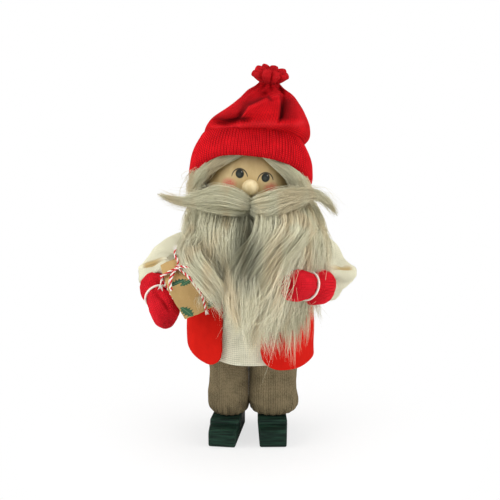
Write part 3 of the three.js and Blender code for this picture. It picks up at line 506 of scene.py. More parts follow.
for side, leg in legs.items():
    piece = rolledSheet(leg["name"], 96, 72, trouserLeg, side)
    settle(piece, trouserKnit, "torso", "trousers")


def trouserSeat(u, v):
    rows = [(0, 3, 2, 61.5), (0.2, 16, 12, 61), (0.4, 28, 18.5, 62.5)]
    rows += [(0.6, 29.2, 19.6, 70), (1, 28.6, 19.2, 85)]
    return oval(fullTurn * u, *flow(v, rows).T)


settle(rolledSheet("trouserSeat", 64, 24, trouserSeat), trouserKnit, "torso", "trousers")
print("trousers made")


torso = dict(halfWidth=39.5, halfDepth=34, hem=58, neck=145)
torsoRows = [(0, 0.985, 0.96), (0.2, 1, 1), (0.45, 0.985, 1), (0.65, 0.95, 0.93), (0.8, 0.84, 0.79)]
torsoRows += [(0.92, 0.6, 0.57), (1, 0.34, 0.38)]


def torsoPoints(turn, z, grow):
    wide, deep = flow((z - torso["hem"]) / (torso["neck"] - torso["hem"]), torsoRows).T
    return oval(turn, torso["halfWidth"] * wide + grow, torso["halfDepth"] * deep + grow, z)


def jumperShape(u, v):
    turn = fullTurn * u
    low = torso["hem"] + 0.6 + 2.4 * bell(cos(turn), -0.62, 0.25) * (sin(turn) < 0)
    z = low + np.maximum(v - 0.05, 0) / 0.95 * (torso["neck"] - low) + 2.2 * ease(0.05, 0, v)
    points = torsoPoints(turn, z, -0.7)
    hem = 0.9 * bell(v, 0.05, 0.035) - 2.2 * ease(0.08, 0, v)
    slack = 0.5 * ripple(points * (1, 1, 0.45), 22, 21) * ease(1, 0.7, v)
    slack += 0.4 * ripple(points * (0.4, 0.4, 1), 13, 22)
    return points + unit(points * (1, 1, 0)) * (hem + slack)[:, None]


def collarShape(u, v):
    ring = 12.2 + 2.6 * cos(fullTurn * v)
    return oval(fullTurn * u, ring, ring * 1.02, 146.2 + 3.6 * sin(fullTurn * v)) - (0, 0.5, 0)


piece = rolledSheet("jumperBody", 160, 110, jumperShape)
settle(piece, jumperKnit, "torso", "jumper")
settle(rolledSheet("jumperCollar", 72, 18, collarShape), jumperKnit, "torso", "jumper")
print("jumper made")


vest = dict(thickness=2.0, hem=56.5, top=137, rightEdge=244.6, leftEdge=-80.4, corner=13, folds=7, flare=2.0)


def vestShape(u, v):
    turn = np.radians(vest["rightEdge"] + (vest["leftEdge"] - vest["rightEdge"]) * u)
    arc = math.radians(vest["rightEdge"] - vest["leftEdge"]) * 38
    fromEdge = np.minimum(u, 1 - u) * arc
    r = vest["corner"]
    inside = np.clip(r - fromEdge, 0, r)
    lift = r - np.sqrt(np.maximum(r * r - inside * inside, 0))
    low = vest["hem"] + lift + 0.6 * sin(5 * turn + 1) - 1.6 * bell(u, 0.9, 0.1)
    low = low + 1.8 * bell(sin(turn), 0.05, 0.3) + 11 * bell(np.degrees(turn), 186, 26)
    z = low + v * (vest["top"] - low)
    points = torsoPoints(turn, np.minimum(z, 139), 1.5)
    away = unit(points * (1, 1, 0))
    drop = ((vest["top"] - z) / (vest["top"] - vest["hem"])) ** 2
    fold = vest["flare"] * drop * (0.5 + 0.5 * cos(vest["folds"] * turn + 0.6))
    edge = 0.9 * drop * bell(fromEdge, 0, 9)
    soft = 0.35 * ripple(points, 26, 31)
    return points + away * (fold + soft + edge)[:, None]


piece = rolledSheet("waistcoatFelt", 190, 84, vestShape)
modify(piece, "SOLIDIFY", thickness=vest["thickness"] * 0.001, offset=0, use_rim=True)
for side in (-1, 1):
    armhole = dict(location=tuple(inFrame((side * 36.5, 0, 127.5))), scale=(0.9, 1, 1.15))
    bpy.ops.mesh.primitive_uv_sphere_add(segments=40, ring_count=24, radius=0.0168, **armhole)
    cutter = bpy.context.object
    modify(piece, "BOOLEAN", operation="DIFFERENCE", object=cutter, solver="EXACT")
    choose(cutter)
    bpy.ops.object.delete()
bevel(piece, 0.0006, 2, 50)
bpy.ops.object.shade_smooth_by_angle(angle=math.radians(60))
settle(piece, feltRed, "torso", "waistcoat")
print("waistcoat made")


arms = {
    -1: dict(
        name="right", bend=(-54, 1, 122), mouth=(-58, -15, 112), wrist=(-64, -16, 113),
        tip=(-51, -51.5, 93), front=(-4, -12, 16.5), dent=1.5,
    ),
    1: dict(
        name="left", bend=(52, 1, 121), mouth=(55, -15, 111), wrist=(50.5, -23, 108.5),
        tip=(22.5, -58.5, 120), front=(-4, -13, 11.5), dent=3.9,
    ),
}
sleeve = dict(shoulder=(34.5, 0, 130), outer=(14.5, 1, 5), pinch=0.45, sag=0.3, corner=0.1)


def sleeveRim(side):
    outer, front = np.array([sleeve["outer"], arms[side]["front"]]) * (side, 1, 1)
    return outer, front, unit(np.cross(outer, front)) * side


def rimPoints(outer, front, turn, share):
    across = np.maximum(0, cos(turn))
    gather = sleeve["pinch"] * np.maximum(0, -sin(turn)) + sleeve["sag"] * np.maximum(0, sin(turn))
    corner = 1 + sleeve["corner"] * share * across**8
    return (1 - share * (2 * across * gather)) * (outer * cos(turn) * corner + front * sin(turn))


def sleeveShape(u, v, side):
    outer, front, _ = sleeveRim(side)
    shoulder = np.array(sleeve["shoulder"]) * (side, 1, 1)
    bend, mouth = np.array([arms[side]["bend"], arms[side]["mouth"]], float)
    top, ahead = np.array([side * 7.6, 0, 11.4]), np.array([0, -13.5, 0])
    w = (v - 0.18) / 0.82
    q = np.maximum(w, 0)[:, None]
    centre = (1 - q) ** 2 * shoulder + 2 * q * (1 - q) * bend + q * q * mouth
    centre[:, 0] += side * 40 * np.minimum(w, 0)
    centre[:, 2] -= 8 * np.minimum(w, 0)
    turn = (fullTurn * u)[:, None]
    size = flow(v, [(0, 0.8), (0.18, 1.02), (0.45, 1.16), (0.75, 1.1), (1, 1)])
    a = (top * (1 - q) + outer * q) * size
    b = (ahead * (1 - q) + front * q) * size
    points = centre + rimPoints(a, b, turn, q)
    away = unit(points - centre)
    slack = 0.7 * ripple(points, 19, 40 + side) + 0.35 * ripple(points, 9, 44 + side)
    crease = -1.6 * bell(v, 0.62, 0.07) * ease(0.1, 0.8, -away[:, 1])
    crease -= 1.2 * bell(v, 0.8, 0.05) * ease(-0.4, 0.5, -away[:, 2])
    lip = 0.8 * bell(v, 0.93, 0.05) - 2.4 * ease(0.93, 1, v) ** 2
    dent = arms[side]["dent"] * bell(v, 0.72, 0.17) * np.maximum(0, cos(turn[:, 0]))
    return points + away * ((slack + crease) * ease(0.1, 0.3, v) + lip - dent)[:, None]


for side, arm in arms.items():
    piece = rolledSheet(arm["name"] + "Sleeve", 96, 72, sleeveShape, side)
    modify(piece, "SOLIDIFY", thickness=0.0014, offset=-1)
    bevel(piece, 0.0005, 2, 50)
    dress(piece, shadedRimKnit)
    bodies, node = ("torso", arm["name"] + "_arm"), arm["name"] + "_sleeve"
    settleBetween(piece, (side * 27, 0, 134), (side * 45, -2, 124), node)
print("sleeves made")


mitten = dict(
    halfWidth=10.5, halfThickness=8.8, waist=0.41, upright=(0.2, -0.5, 1.0),
    band={-1: 0.41, 1: 0.53}, thumb={-1: 0.1, 1: 0.57},
)
mittenRows = [(0, 0.4), (0.02, 0.62), (0.08, 0.86), (0.2, 1.04), (0.32, 1.02), (0.41, 0.8), (0.48, 0.86)]
mittenRows += [(0.6, 0.99), (0.78, 1), (0.9, 0.84), (0.955, 0.62), (0.988, 0.34), (1, 0.02)]


def mittenSize(side, v):
    band, waist = mitten["band"][side], mitten["waist"]
    hand = 1 - (0.1 if side < 0 else 0.02) * ease(band, 0.7, v)[:, None]
    cuff = 1 + (0.02 if side < 0 else 0.14) * bell(v, 0.24, 0.16)[:, None]
    return flow(np.interp(v, [0, band, 1], [0, waist, 1]), mittenRows) * hand * cuff


def handPath(side):
    arm = arms[side]
    a, b = np.array(arm["wrist"], float), np.array(arm["tip"], float)
    k = (a + b) / 2 + (side * 1.5, 0, 1.5)
    return [(t, *((1 - t) ** 2 * a + 2 * t * (1 - t) * k + t * t * b)) for t in np.linspace(0, 1, 7)]


def handFrame(side, v):
    path = handPath(side)
    ahead = unit(flow(np.minimum(v + 0.01, 1), path) - flow(np.maximum(v - 0.01, 0), path))
    across = unit(np.cross(mitten["upright"], ahead))
    return flow(v, path), across, np.cross(ahead, across)


def mittenShape(u, v, side):
    centre, across, up = handFrame(side, v)
    thick, wide = (mittenSize(side, v) * (mitten["halfThickness"], mitten["halfWidth"])).T
    turn = fullTurn * u
    points = centre + across * (thick * cos(turn))[:, None] + up * (wide * sin(turn))[:, None]
    band = mitten["band"][side]
    pleat = 0.5 * bell(v, band, 0.08) * cos(11 * turn + side)
    soft = 0.45 * ripple(points, 14, 51 + side) + 0.25 * ripple(points, 6, 53 + side)
    past = (v - band) / (1 - band)
    thumb = (u - mitten["thumb"][side] + 0.5) % 1 - 0.5
    alongThumb = ease(0.1, 0.35, past) * ease(0.92, 0.72, past)
    crease = thumb - 0.24 + 0.13 * past
    fold = alongThumb * (3.0 * bell(thumb, 0, 0.11) - 2.0 * bell(crease, 0, 0.028))
    amount = (pleat + soft + fold) * ease(0, 0.05, v) * ease(1, 0.9, v)
    return points + unit(points - centre) * amount[:, None]


def tubeRing(name, centre, halfA, halfB, radius, steps=64, sides=12):
    normal = unit(np.cross(halfA, halfB))

    def shape(u, v):
        turn, roll = fullTurn * u, fullTurn * v
        out = cos(turn)[:, None] * halfA + sin(turn)[:, None] * halfB
        points = centre + out + unit(out) * (radius * cos(roll))[:, None]
        return points + normal * (radius * sin(roll))[:, None]

    return rolledSheet(name, steps, sides, shape)


forearmRows = [(0, 0.8, 0, -9), (0.2, 0.97, 0, -5), (0.4, 0.96, 0, -1.2), (0.58, 0.84, 0.06, 2.2)]
forearmRows += [(0.78, 0.5, 0.45, 3.6), (1, 0, 1, 0)]


def forearmShape(u, v, side):
    outer, front, out = sleeveRim(side)
    mouth = np.array(arms[side]["mouth"], float)
    cuff = flow(np.array([0.0, 0.1]), handPath(side))
    ahead = unit(cuff[1] - cuff[0])
    a = unit(outer - ahead * (outer @ ahead))
    b = unit(np.cross(ahead, a)) * np.sign(np.cross(ahead, a) @ front)
    turn = (fullTurn * u)[:, None]
    near = 7.4 * (a * cos(turn) + b * sin(turn))
    scale, join, lift = flow(v, forearmRows).T[:, :, None]
    wide = rimPoints(outer, front, turn, 1)
    points = mouth * (1 - join) + cuff[1] * join + wide * scale + near * join + out * lift
    soft = 0.5 * ripple(points, 12, 47 + side) + 0.25 * ripple(points, 5, 49 + side)
    return points + out * (soft * ease(0.25, 0.5, v))[:, None]


for side, arm in arms.items():
    hand = arm["name"] + "_hand"
    piece = rolledSheet(arm["name"] + "Forearm", 80, 40, forearmShape, side)
    dress(piece, sleeveKnit)
    mouth, out = np.array(arm["mouth"]), sleeveRim(side)[2]
    bodies = (arm["name"] + "_arm", hand)
    settleBetween(piece, mouth - 3 * out, mouth + 5 * out, arm["name"] + "_sleeve")
    piece = rolledSheet(arm["name"] + "Mitten", 72, 64, mittenShape, side)
    settle(piece, redMittenKnit, hand, arm["name"] + "_mitten")
    at = np.array([mitten["band"][side]])
    centre, across, up = (row[0] for row in handFrame(side, at))
    scale = mittenSize(side, at)[0, 0]
    across, up = across * (mitten["halfThickness"] * scale + 0.8), up * (mitten["halfWidth"] * scale + 0.8)
    ring = tubeRing(arm["name"] + "MittenBand", centre, across, up, 0.75)
    settle(ring, bandWhite, hand, arm["name"] + "_mitten_band")
print("mittens made")


parcel = dict(size=(21.5, 23, 32), centre=(-39.1, -46.6, 116.7), turn=(33.5, -17, 16.5), rounding=1.0)


def parcelPlace(points):
    placed = np.asarray(points, float)
    for about, degrees in zip("ZYX", parcel["turn"][::-1]):
        placed = turned(placed, about, degrees)
    return placed + parcel["centre"]


bpy.ops.mesh.primitive_cube_add(size=1, location=(0, 0, 0))
piece = named("parcelPaper")
bpy.ops.object.mode_set(mode="EDIT")
bpy.ops.mesh.select_all(action="SELECT")
bpy.ops.mesh.subdivide(number_cuts=24)
bpy.ops.object.mode_set(mode="OBJECT")
cube = pointsOf(piece)
sizes = np.array(parcel["size"], float)
flat = cube * sizes
within = sizes / 2 - parcel["rounding"]
core = np.clip(flat, -within, within)
beyond = np.minimum(np.linalg.norm(flat - core, axis=1), parcel["rounding"])
points = core + unit(flat - core) * beyond[:, None]
faceOut = unit(np.sign(cube) * (np.abs(cube) > 0.499))
crumple = 0.28 * ripple(points, 9, 61) + 0.16 * ripple(points, 4, 62)
aboveEdge = points[:, 2] + 0.03 * points[:, 0] - 0.4  # the paper overlaps on the front
flap = 0.55 * ease(-0.15, 0.15, aboveEdge) * (cube[:, 1] < -0.49)
points += faceOut * (crumple - 0.3 + flap)[:, None]
uvs = piece.data.uv_layers.active.data
for face in piece.data.polygons:
    k = int(np.argmax(np.abs(face.normal[:])))
    pair = [(1, 2), (0, 2), (0, 1)][k]
    shift = (k * 3 + (face.normal[k] > 0)) * 0.5
    for index in face.loop_indices:
        uvs[index].uv = flat[piece.data.loops[index].vertex_index, pair] / 100 + (shift, 0.5)
placePoints(piece.data, parcelPlace(points))
bpy.ops.object.shade_smooth_by_angle(angle=math.radians(50))

leafStart = dict(Centre=(0.0, 0.0, 0.0), Turn=0.0, Length=0.05)
printedLeaf, given, shown = newGroup("printedLeaf", leafStart, ["Mask", "Vein"])
spin = printedLeaf.nodes.new("ShaderNodeVectorRotate")
spin.rotation_type = "Z_AXIS"
apart = calc("SUBTRACT", coordinates(printedLeaf, "UV"), given["Centre"], kind="VectorMath")
put(spin.inputs["Vector"], apart)
put(spin.inputs["Angle"], given["Turn"])
p, q = (calc("DIVIDE", part, given["Length"]) for part in parts(spin.outputs[0])[:2])
q = calc("ABSOLUTE", q)
scallop = calc("ABSOLUTE", calc("SINE", calc("MULTIPLY_ADD", p, 9.4, 1.2)))
pointed = calc("SUBTRACT", 1.0, calc("MULTIPLY", p, p))
wide = calc("MULTIPLY", pointed, calc("MULTIPLY_ADD", scallop, -0.28, 0.62))
put(shown["Mask"], clamped(calc("MULTIPLY", calc("SUBTRACT", wide, q), 14.0)))
put(shown["Vein"], span(q, 0.05, 0.02))

wrapPaper, tree, shader = newMaterial("wrapPaper", (0.52, 0.35, 0.15), 0.6, 0.3)
fuzz = useGroup(tree, fibreFuzz, Scale=900.0)
paper = tint(fuzz["Shade"], (0.36, 0.222, 0.073), (0.54, 0.355, 0.138))
rng = np.random.default_rng(5)
leaves = []
for k in (0, 1, 3, 4):  # the front and the top are laid out below
    across, up = ((0.11, 0.155), (0.1, 0.155), (0.1, 0.11))[k // 2]
    shift = (k // 2 * 3 + k % 2) * 0.5
    for n in range(5):
        at = (shift + rng.uniform(-0.9, 0.9) * across, 0.5 + rng.uniform(-0.9, 0.9) * up)
        leaves.append((*at, rng.uniform(0, 6.28), rng.uniform(0.038, 0.052)))
leaves += [(1.5 - 0.066, 0.5 - 0.096, 1.25, 0.07), (1.5 + 0.096, 0.5 - 0.105, 2.2, 0.05)]
leaves += [(1.5 + 0.02, 0.5 + 0.15, 3.0, 0.05), (3.5 - 0.034, 0.5 - 0.1, 0.1, 0.062)]
leaves += [(3.5 + 0.07, 0.5 + 0.05, 1.2, 0.05)]
for n, (x, y, turn, size) in enumerate(leaves):
    leaf = useGroup(tree, printedLeaf, Centre=(x, y, 0), Turn=turn, Length=size)
    green = tint(leaf["Vein"], (0.014, 0.07, 0.035) if n % 2 else (0.03, 0.11, 0.05), (0.1, 0.2, 0.1))
    paper = tint(leaf["Mask"], paper, green)
paint(shader, paper)
bumped(shader, fuzz["Shade"], 0.25, 0.0004)
settle(piece, wrapPaper, "right_hand", "parcel_paper")


def tubes(name, lines, radii, sides, tone):
    count, steps, _ = lines.shape
    ahead = unit(np.gradient(lines, axis=1))
    side = unit(np.cross(ahead, np.array([0.31, 0.83, 0.47])))
    up = np.cross(ahead, side)
    each = np.arange(sides)
    turn = each * fullTurn / sides
    ring = side[:, :, None] * cos(turn)[:, None] + up[:, :, None] * sin(turn)[:, None]
    points = (lines[:, :, None] + ring * radii[:, :, None, None]).reshape(-1, 3)
    first = (np.arange(count) * steps * sides)[:, None, None] + (np.arange(steps - 1) * sides)[:, None]
    a, b = first + each, first + (each + 1) % sides
    quads = np.stack([a, b, b + sides, a + sides], -1).reshape(-1, 4)
    loops = quads.ravel()
    mesh = bpy.data.meshes.new(name)
    mesh.vertices.add(len(points))
    placePoints(mesh, points)
    mesh.loops.add(quads.size)
    mesh.loops.foreach_set("vertex_index", loops.astype(np.int32))
    mesh.polygons.add(len(quads))
    mesh.polygons.foreach_set("loop_start", np.arange(0, quads.size, 4, dtype=np.int32))
    mesh.polygons.foreach_set("loop_total", np.full(len(quads), 4, dtype=np.int32))
    mesh.polygons.foreach_set("use_smooth", np.ones(len(quads), dtype=bool))
    mesh.update()
    mesh.validate()
    along = np.broadcast_to(np.linspace(0, 1, steps)[:, None], (count, steps, sides)).ravel()
    tones = np.broadcast_to(np.asarray(tone)[:, None, None], (count, steps, sides)).ravel()
    layer = mesh.uv_layers.new(name="UVMap")
    layer.data.foreach_set("uv", np.stack([tones[loops], along[loops]], 1).astype(np.float32).ravel())
    piece = bpy.data.objects.new(name, mesh)
    bpy.context.collection.objects.link(piece)
    return piece


def resample(points, gap):
    rows = np.column_stack([np.linspace(0, 1, len(points)), points])
    fine = flow(np.linspace(0, 1, 40 * len(points)), rows)
    run = np.concatenate([[0], np.cumsum(np.linalg.norm(np.diff(fine, axis=0), axis=1))])
    want = np.linspace(0, run[-1], max(int(run[-1] / gap), 4))
    return np.stack([np.interp(want, run, fine[:, k]) for k in range(3)], 1), want


twine = dict(plyRadius=0.45, twist=0.41, pitch=4.6, lift=0.85)
fray = dict(count=16, length=4.6, spread=0.9, thickness=0.13)  # loose fibre at a cut end


def plies(path, phase):
    points, run = resample(path, 0.4)
    ahead = unit(np.gradient(points, axis=0))
    side = unit(np.cross(ahead, np.array([0.23, 0.31, 0.92])))
    up = np.cross(ahead, side)
    turn = fullTurn * run / twine["pitch"] + phase
    return points + twine["twist"] * (side * cos(turn)[:, None] + up * sin(turn)[:, None])


def boxLoop(corners):
    corners = np.array(corners, float)
    dense = [a + (b - a) * t for a, b in zip(corners[:-1], corners[1:]) for t in np.linspace(0, 1, 7)[:-1]]
    return np.array(dense + [corners[-1]])


w, d, h = sizes / 2 + twine["lift"]
knot = (0, 0, sizes[2] / 2 + 1.4)
longLoop = [(0, 0, 0), (-3, -3.5, 1.6), (-6.5, -8.5, 1.0), (-8.6, -12.2, -1.6)]
longLoop += [(-8.4, -11.6, -3.2), (-7.4, -8, 0.4), (-3, -1.5, 0.6), (0, 0, 0.2)]
shortLoop = [(0, 0, 0), (3, -2.5, 2.2), (6, -5, 1.8), (7.6, -3.6, 0.6), (5, -1, 0.4)]
shortLoop += [(2, -0.2, 0.4), (0, 0, 0.2)]
frontEnd = [(0, 0, h + 0.6), (2.6, -d * 0.5, h + 0.5), (4.6, -d * 0.94, h + 0.2), (5.4, -d - 0.5, h - 3)]
frontEnd += [(6.4, -d - 0.4, 0), (4.6, -d - 0.5, -13)]
tiedOver = [(-1.2, 0.9, 0), (-0.6, -0.8, 0.9), (0.8, -0.9, 0.9), (1.2, 0.8, 0.2)]
tiedOver += [(0, 1.2, 0.9), (-1.2, 0, 0.7), (0, -1.2, 0.6), (1, 0, 0.6)]
bow = [
    boxLoop([(0, 0, h), (w, 0, h), (w, 0, -h), (-w, 0, -h), (-w, 0, h), (0, 0, h)]),
    np.array(longLoop) + knot,
    np.array(shortLoop) + knot,
    np.array(frontEnd),
    np.array([(0, 0, 0.2), (-6, -1, 1.0), (-11.6, -2.0, 0.2), (-13.4, -3.6, -3.6)]) + knot,
    np.array([(0, 0, 0.2), (1.5, 4, 1.5), (1.0, 9, 2.2), (2.4, 13, 3.2)]) + knot,
    np.array(tiedOver) + knot,
]
twineRed = newMaterial("twineRed", (0.6, 0.02, 0.03), 0.8)[0]
twineWhite = newMaterial("twineWhite", (0.82, 0.78, 0.7), 0.8)[0]
rng = np.random.default_rng(61)
t = np.linspace(0, 1, 5)
for name, made, phase in (("twineRedPly", twineRed, 0), ("twineWhitePly", twineWhite, math.pi)):
    runs = []
    for path in bow:
        line = parcelPlace(plies(path, phase))
        fat = np.full(len(line), twine["plyRadius"])
        runs.append(tubes(name + str(len(runs)), line[None], fat[None], 6, [0.5]))
    for path in bow[3:6] if phase else ():
        ahead = unit(np.diff(path[-2:], axis=0))[0]
        reach = rng.uniform(0.5, 1, fray["count"])[:, None, None] * fray["length"] * ahead
        apart = rng.normal(0, fray["spread"], (fray["count"], 1, 3))
        lines = path[-1] - 0.6 * ahead + reach * t[:, None] + apart * t[:, None] ** 0.7
        thin = np.full(lines.shape[:2], fray["thickness"])
        runs.append(tubes(name + str(len(runs)), parcelPlace(lines), thin, 4, [0.5] * len(lines)))
    choose(runs[0])
    for other in runs:
        other.select_set(True)
    bpy.ops.object.join()
    settle(named(name), made, "right_hand", "parcel_twine")
print("parcel made")


def ball(name, segments, rings, radius, at):
    size = dict(segments=segments, ring_count=rings, radius=radius * 0.001)
    bpy.ops.mesh.primitive_uv_sphere_add(location=tuple(inFrame(at)), **size)
    bpy.ops.object.transform_apply(location=True, rotation=True, scale=True)
    bpy.ops.object.shade_smooth()
    return named(name)


settle(ball("headBall", 96, 64, head["radius"], head["centre"]), faceWood, "head", "head")
piece = ball("noseBead", 48, 32, 5.3, headPlace((0, -31.9, 1.5)))
settle(piece, noseWood, "head", "nose_bead")
print("head made")


hat = dict(
    tilt=30, ribs=113, lower=1, height=22, radius=39.5, topRadius=35, thickness=3.2, neck=(6.3, 2, 62.9)
)


def hatPlace(points):
    return headPlace(turned(points, "X", -hat["tilt"]))


def cuffShape(u, v):
    turn = fullTurn * u
    t, low, top = hat["thickness"] / 2, hat["radius"], hat["topRadius"]
    rows = [(0, low - 2 * t, 5), (0.06, low - 1.9 * t, 1.6), (0.12, low - t, 0), (0.2, low + 0.1, 1.4)]
    rows += [(0.4, low + 0.5, 8.8), (0.6, low - 0.9, 16.6), (0.76, top + 0.9, 23.2), (0.84, top - 0.6, 25.8)]
    rows += [(0.9, top - 2 * t, 25), (1, top - 2.2 * t, 18)]
    reach, rise = flow(v, rows).T
    ribs = -0.28 * ease(0.06, 0.16, v) * ease(0.93, 0.8, v) * cos(hat["ribs"] * turn)
    wave = 0.7 * sin(3 * turn + 1.1) * ease(0.5, 0.1, v) + 0.4 * sin(5 * turn + 0.3)
    underLobe = ease(0.45, 0.85, v) * ease(0.45, 1, cos(turn))  # drawn in there
    reach = reach + ribs + 0.5 * wave - 4.5 * underLobe
    pulled = 1.8 * ease(0.3, 1, -sin(turn)) - 2.8 * ease(0.5, 1, -cos(turn))  # the rim is lower at the sides
    pulled = pulled * ease(0.6, 0.15, v) + 5 * ease(0.4, 0.8, v) * ease(0.35, 1, cos(turn))
    rise = hat["lower"] + rise + 0.5 * wave * ease(0.4, 0, v) + pulled
    return hatPlace(oval(turn, reach, reach, rise))


piece = rolledSheet("hatCuff", hat["ribs"] * 6, 60, cuffShape)
settle(piece, redCuffKnit, "head", "hat_cuff")


def crownFolds(x, z):
    ridge = np.interp(x, [-12, -5.5, -1, 8.9, 14.8, 20], [214.5, 219.7, 225.7, 229.8, 232.1, 233])
    below = ridge - z
    inPouch = ease(-9, -4, x) * ease(21, 18.5, x)
    pouch = 10 * ease(-0.8, 1.4, below) * np.exp(-np.maximum(below, 0) / 9) * inPouch
    behind = -3.5 * bell(below, -2.6, 2.2) * inPouch
    valleyAt = np.interp(z, [214, 219, 228.6, 236.5, 243], [17, 19.4, 20.5, 19.6, 14.5])
    columnAt = np.interp(z, [229, 232.6, 238, 244], [14.6, 10.9, 10.4, 9.4])
    valley = -9 * bell(x, valleyAt, 1.8) * ease(213, 219, z) * ease(241, 236, z)
    column = 4 * bell(x, 15.6, 3) * ease(229, 233, z) * ease(242, 238, z)
    pocket = -8 * bell(x, 9.6, 3) * bell(z, 231.6, 2.6)
    lobe = 5.5 * bell(x, 28, 6) * ease(204, 212, z) * ease(238, 228, z)
    creaseAt = np.interp(x, [-34, -25, -15, -6, 2], [212, 215.2, 215.7, 218, 219])
    crease = -6 * bell(z, creaseAt, 1.6) * ease(3, -6, x)
    flap = 3.4 * bell(z, creaseAt + 5.5, 4) * ease(4, -7, x)
    roll = 2.2 * bell(z, creaseAt - 4, 2.6) * ease(38, 28, x)
    # shade is painted shade: darker in the valley, the recess above the pouch, beside the column, in the
    # crease, on the flap and on the lobe; negative values are painted highlights
    shade = 0.9 * bell(x, valleyAt, 1.3) + 0.5 * bell(x, valleyAt + 2.6, 2.6)
    shade = shade * ease(214, 219, z) * ease(244, 241, z)
    shade += ease(0.3, -0.7, below) * np.exp(np.minimum(below, 0) / 6) * ease(-10, -4, x) * ease(13, 9.5, x)
    shade += 0.9 * bell(x, columnAt - 1, 1.6) * ease(228, 231, z) * ease(245, 242, z)
    shade += 0.85 * bell(z, creaseAt + 0.3, 1.8) * ease(3, -5, x) * ease(-31, -25, x)
    shade += 0.4 * bell(x, 26, 5) * ease(211, 220, z) * ease(242, 234, z)  # painted shade on the lobe's far side
    shade += 0.3 * bell(z, creaseAt + 4, 4) * ease(0, -8, x)
    # painted highlight along the roll above the cuff
    shade -= 0.4 * bell(z, creaseAt - 3.8, 2.2)
    folds = 0.6 * (pouch + behind + valley + column + pocket + lobe) + crease + flap + roll
    return folds, np.clip(shade, -0.5, 1)


crownRows = [(0, 0, 0.02, 30.6), (0.07, 0.06, 0.1, 33), (0.18, 0.2, 0.26, 34.4), (0.36, 0.4, 0.5, 32.6)]
crownRows += [(0.54, 0.58, 0.76, 27.6), (0.74, 0.77, 0.97, 20.7), (0.87, 0.9, 1.02, 14.3)]
crownRows += [(0.96, 0.985, 1, 8.0), (1, 1.035, 1, 5.6)]


def crownShape(u, v):
    turn = fullTurn * u - math.pi / 2  # u is 0 at the front
    base = turned((0, 0, hat["lower"] + hat["height"] - 1), "X", -hat["tilt"])
    neck = np.array(hat["neck"], float)
    share, shift, wide = flow(v, crownRows).T
    centre = base + (neck - base) * share[:, None]
    centre[:, 0] = neck[0] * shift
    lean = np.radians(-hat["tilt"] * (1 - share))
    x, y = cos(turn), sin(turn)
    gathers = 1.2 * ease(0.68, 0.96, v) * cos(11 * turn + 0.6 * sin(2 * turn))
    back = 1.6 * ease(0, 0.8, y) * sin(9 * v + 2 * x) * ease(0.05, 0.25, v) * ease(0.95, 0.7, v)
    waist = 7 * bell(v, 0.07, 0.09) * ease(0.2, 0.9, x) + 2.8 * bell(v, 0.66, 0.22) * ease(0.2, 0.9, -x)
    reach = wide + gathers + back - waist
    points = headPlace(centre + np.stack([reach * x, reach * y * cos(lean), reach * y * sin(lean)], 1))
    points[:, 1] -= ease(0.05, 0.55, -y) * crownFolds(points[:, 0], points[:, 2])[0]
    return points


def markPaintedLight(piece, shade):
    piece.data.attributes.new("fold", "FLOAT", "POINT").data.foreach_set("value", shade.astype(np.float32))


piece = rolledSheet("hatCrown", 300, 170, crownShape)
x, y, z = ((pointsOf(piece) - axis) * 1000).T
# painted shade and highlights on the crown's front only
markPaintedLight(piece, crownFolds(x, z)[1] * ease(-6, -16, y))
settle(piece, redCrownKnit, "head", "hat_crown")

tuft = dict(pleats=10, depth=0.42, pale=0.25)


def tuftShape(u, v):
    turn = fullTurn * u
    rows = [(0, 5.2, 0.2, 0.1), (0.12, 6.4, 1.2, 0.4), (0.3, 10.0, 3.6, 0.8), (0.46, 12.0, 6.2, 1)]
    rows += [(0.6, 11.8, 9.6, 1), (0.66, 11.0, 10.8, 1), (0.71, 10.0, 10.6, 1), (0.84, 6.8, 7.0, 0.8)]
    rows += [(1, 1, 4, 0.2)]
    reach, rise, pleat = flow(v, rows).T
    bulge = np.abs(cos(tuft["pleats"] / 2 * turn + 0.5 * sin(2 * turn + 1))) ** 0.55
    reach = reach * (1 - tuft["depth"] * pleat * (1 - bulge))
    spread = 1.6 * (bulge - 0.6) + 0.8 * sin(3 * turn + 0.5) + 1.5 * sin(turn) - 3.2 * cos(turn) ** 2
    rise = rise + spread * ease(0.3, 0.65, v)
    return headPlace(oval(turn, reach, reach, rise) + hat["neck"] + (0, 0, 0.3))


piece = rolledSheet("hatTuft", 168, 60, tuftShape)
# an even painted highlight makes the whole tuft a lighter red
markPaintedLight(piece, np.full(len(piece.data.vertices), -tuft["pale"]))
settle(piece, redCrownKnit, "head", "hat_tuft")
tieAt = headPlace(np.array(hat["neck"]) + (0, 0, 1.2))
piece = tubeRing("hatTie", tieAt, np.array([6.0, 0, -0.6]), np.array([0, 6.0, 0]), 0.8)
settle(piece, redCrownKnit, "head", "hat_tie")
print("hat made")


def clearOfParcel(lines):
    flat = lines.reshape(-1, 3) - parcel["centre"]
    for about, degrees in zip("XYZ", parcel["turn"]):
        flat = turned(flat, about, -degrees)
    half = sizes / 2 + 1.0
    inside = (np.abs(flat) < half).all(1)
    ways = np.stack([half[0] - flat[:, 0], (flat[:, 1] + half[1]) * 1.5, (half[2] - flat[:, 2]) * 0.8], 1)
    way = np.where(inside, ways.argmin(1), -1)
    for k, edge in enumerate((half[0], -half[1], half[2])):  # aside, to the front, or lying on the top
        flat[way == k, k] = edge
    return parcelPlace(flat).reshape(lines.shape)


def guidesThrough(steps, shares, *stations):
    t = np.linspace(0, 1, steps)
    rows = [np.column_stack([np.full(len(at), share), at]) for share, at in zip(shares, stations)]
    return np.stack([flow(t, row) for row in np.stack(rows, 1)])


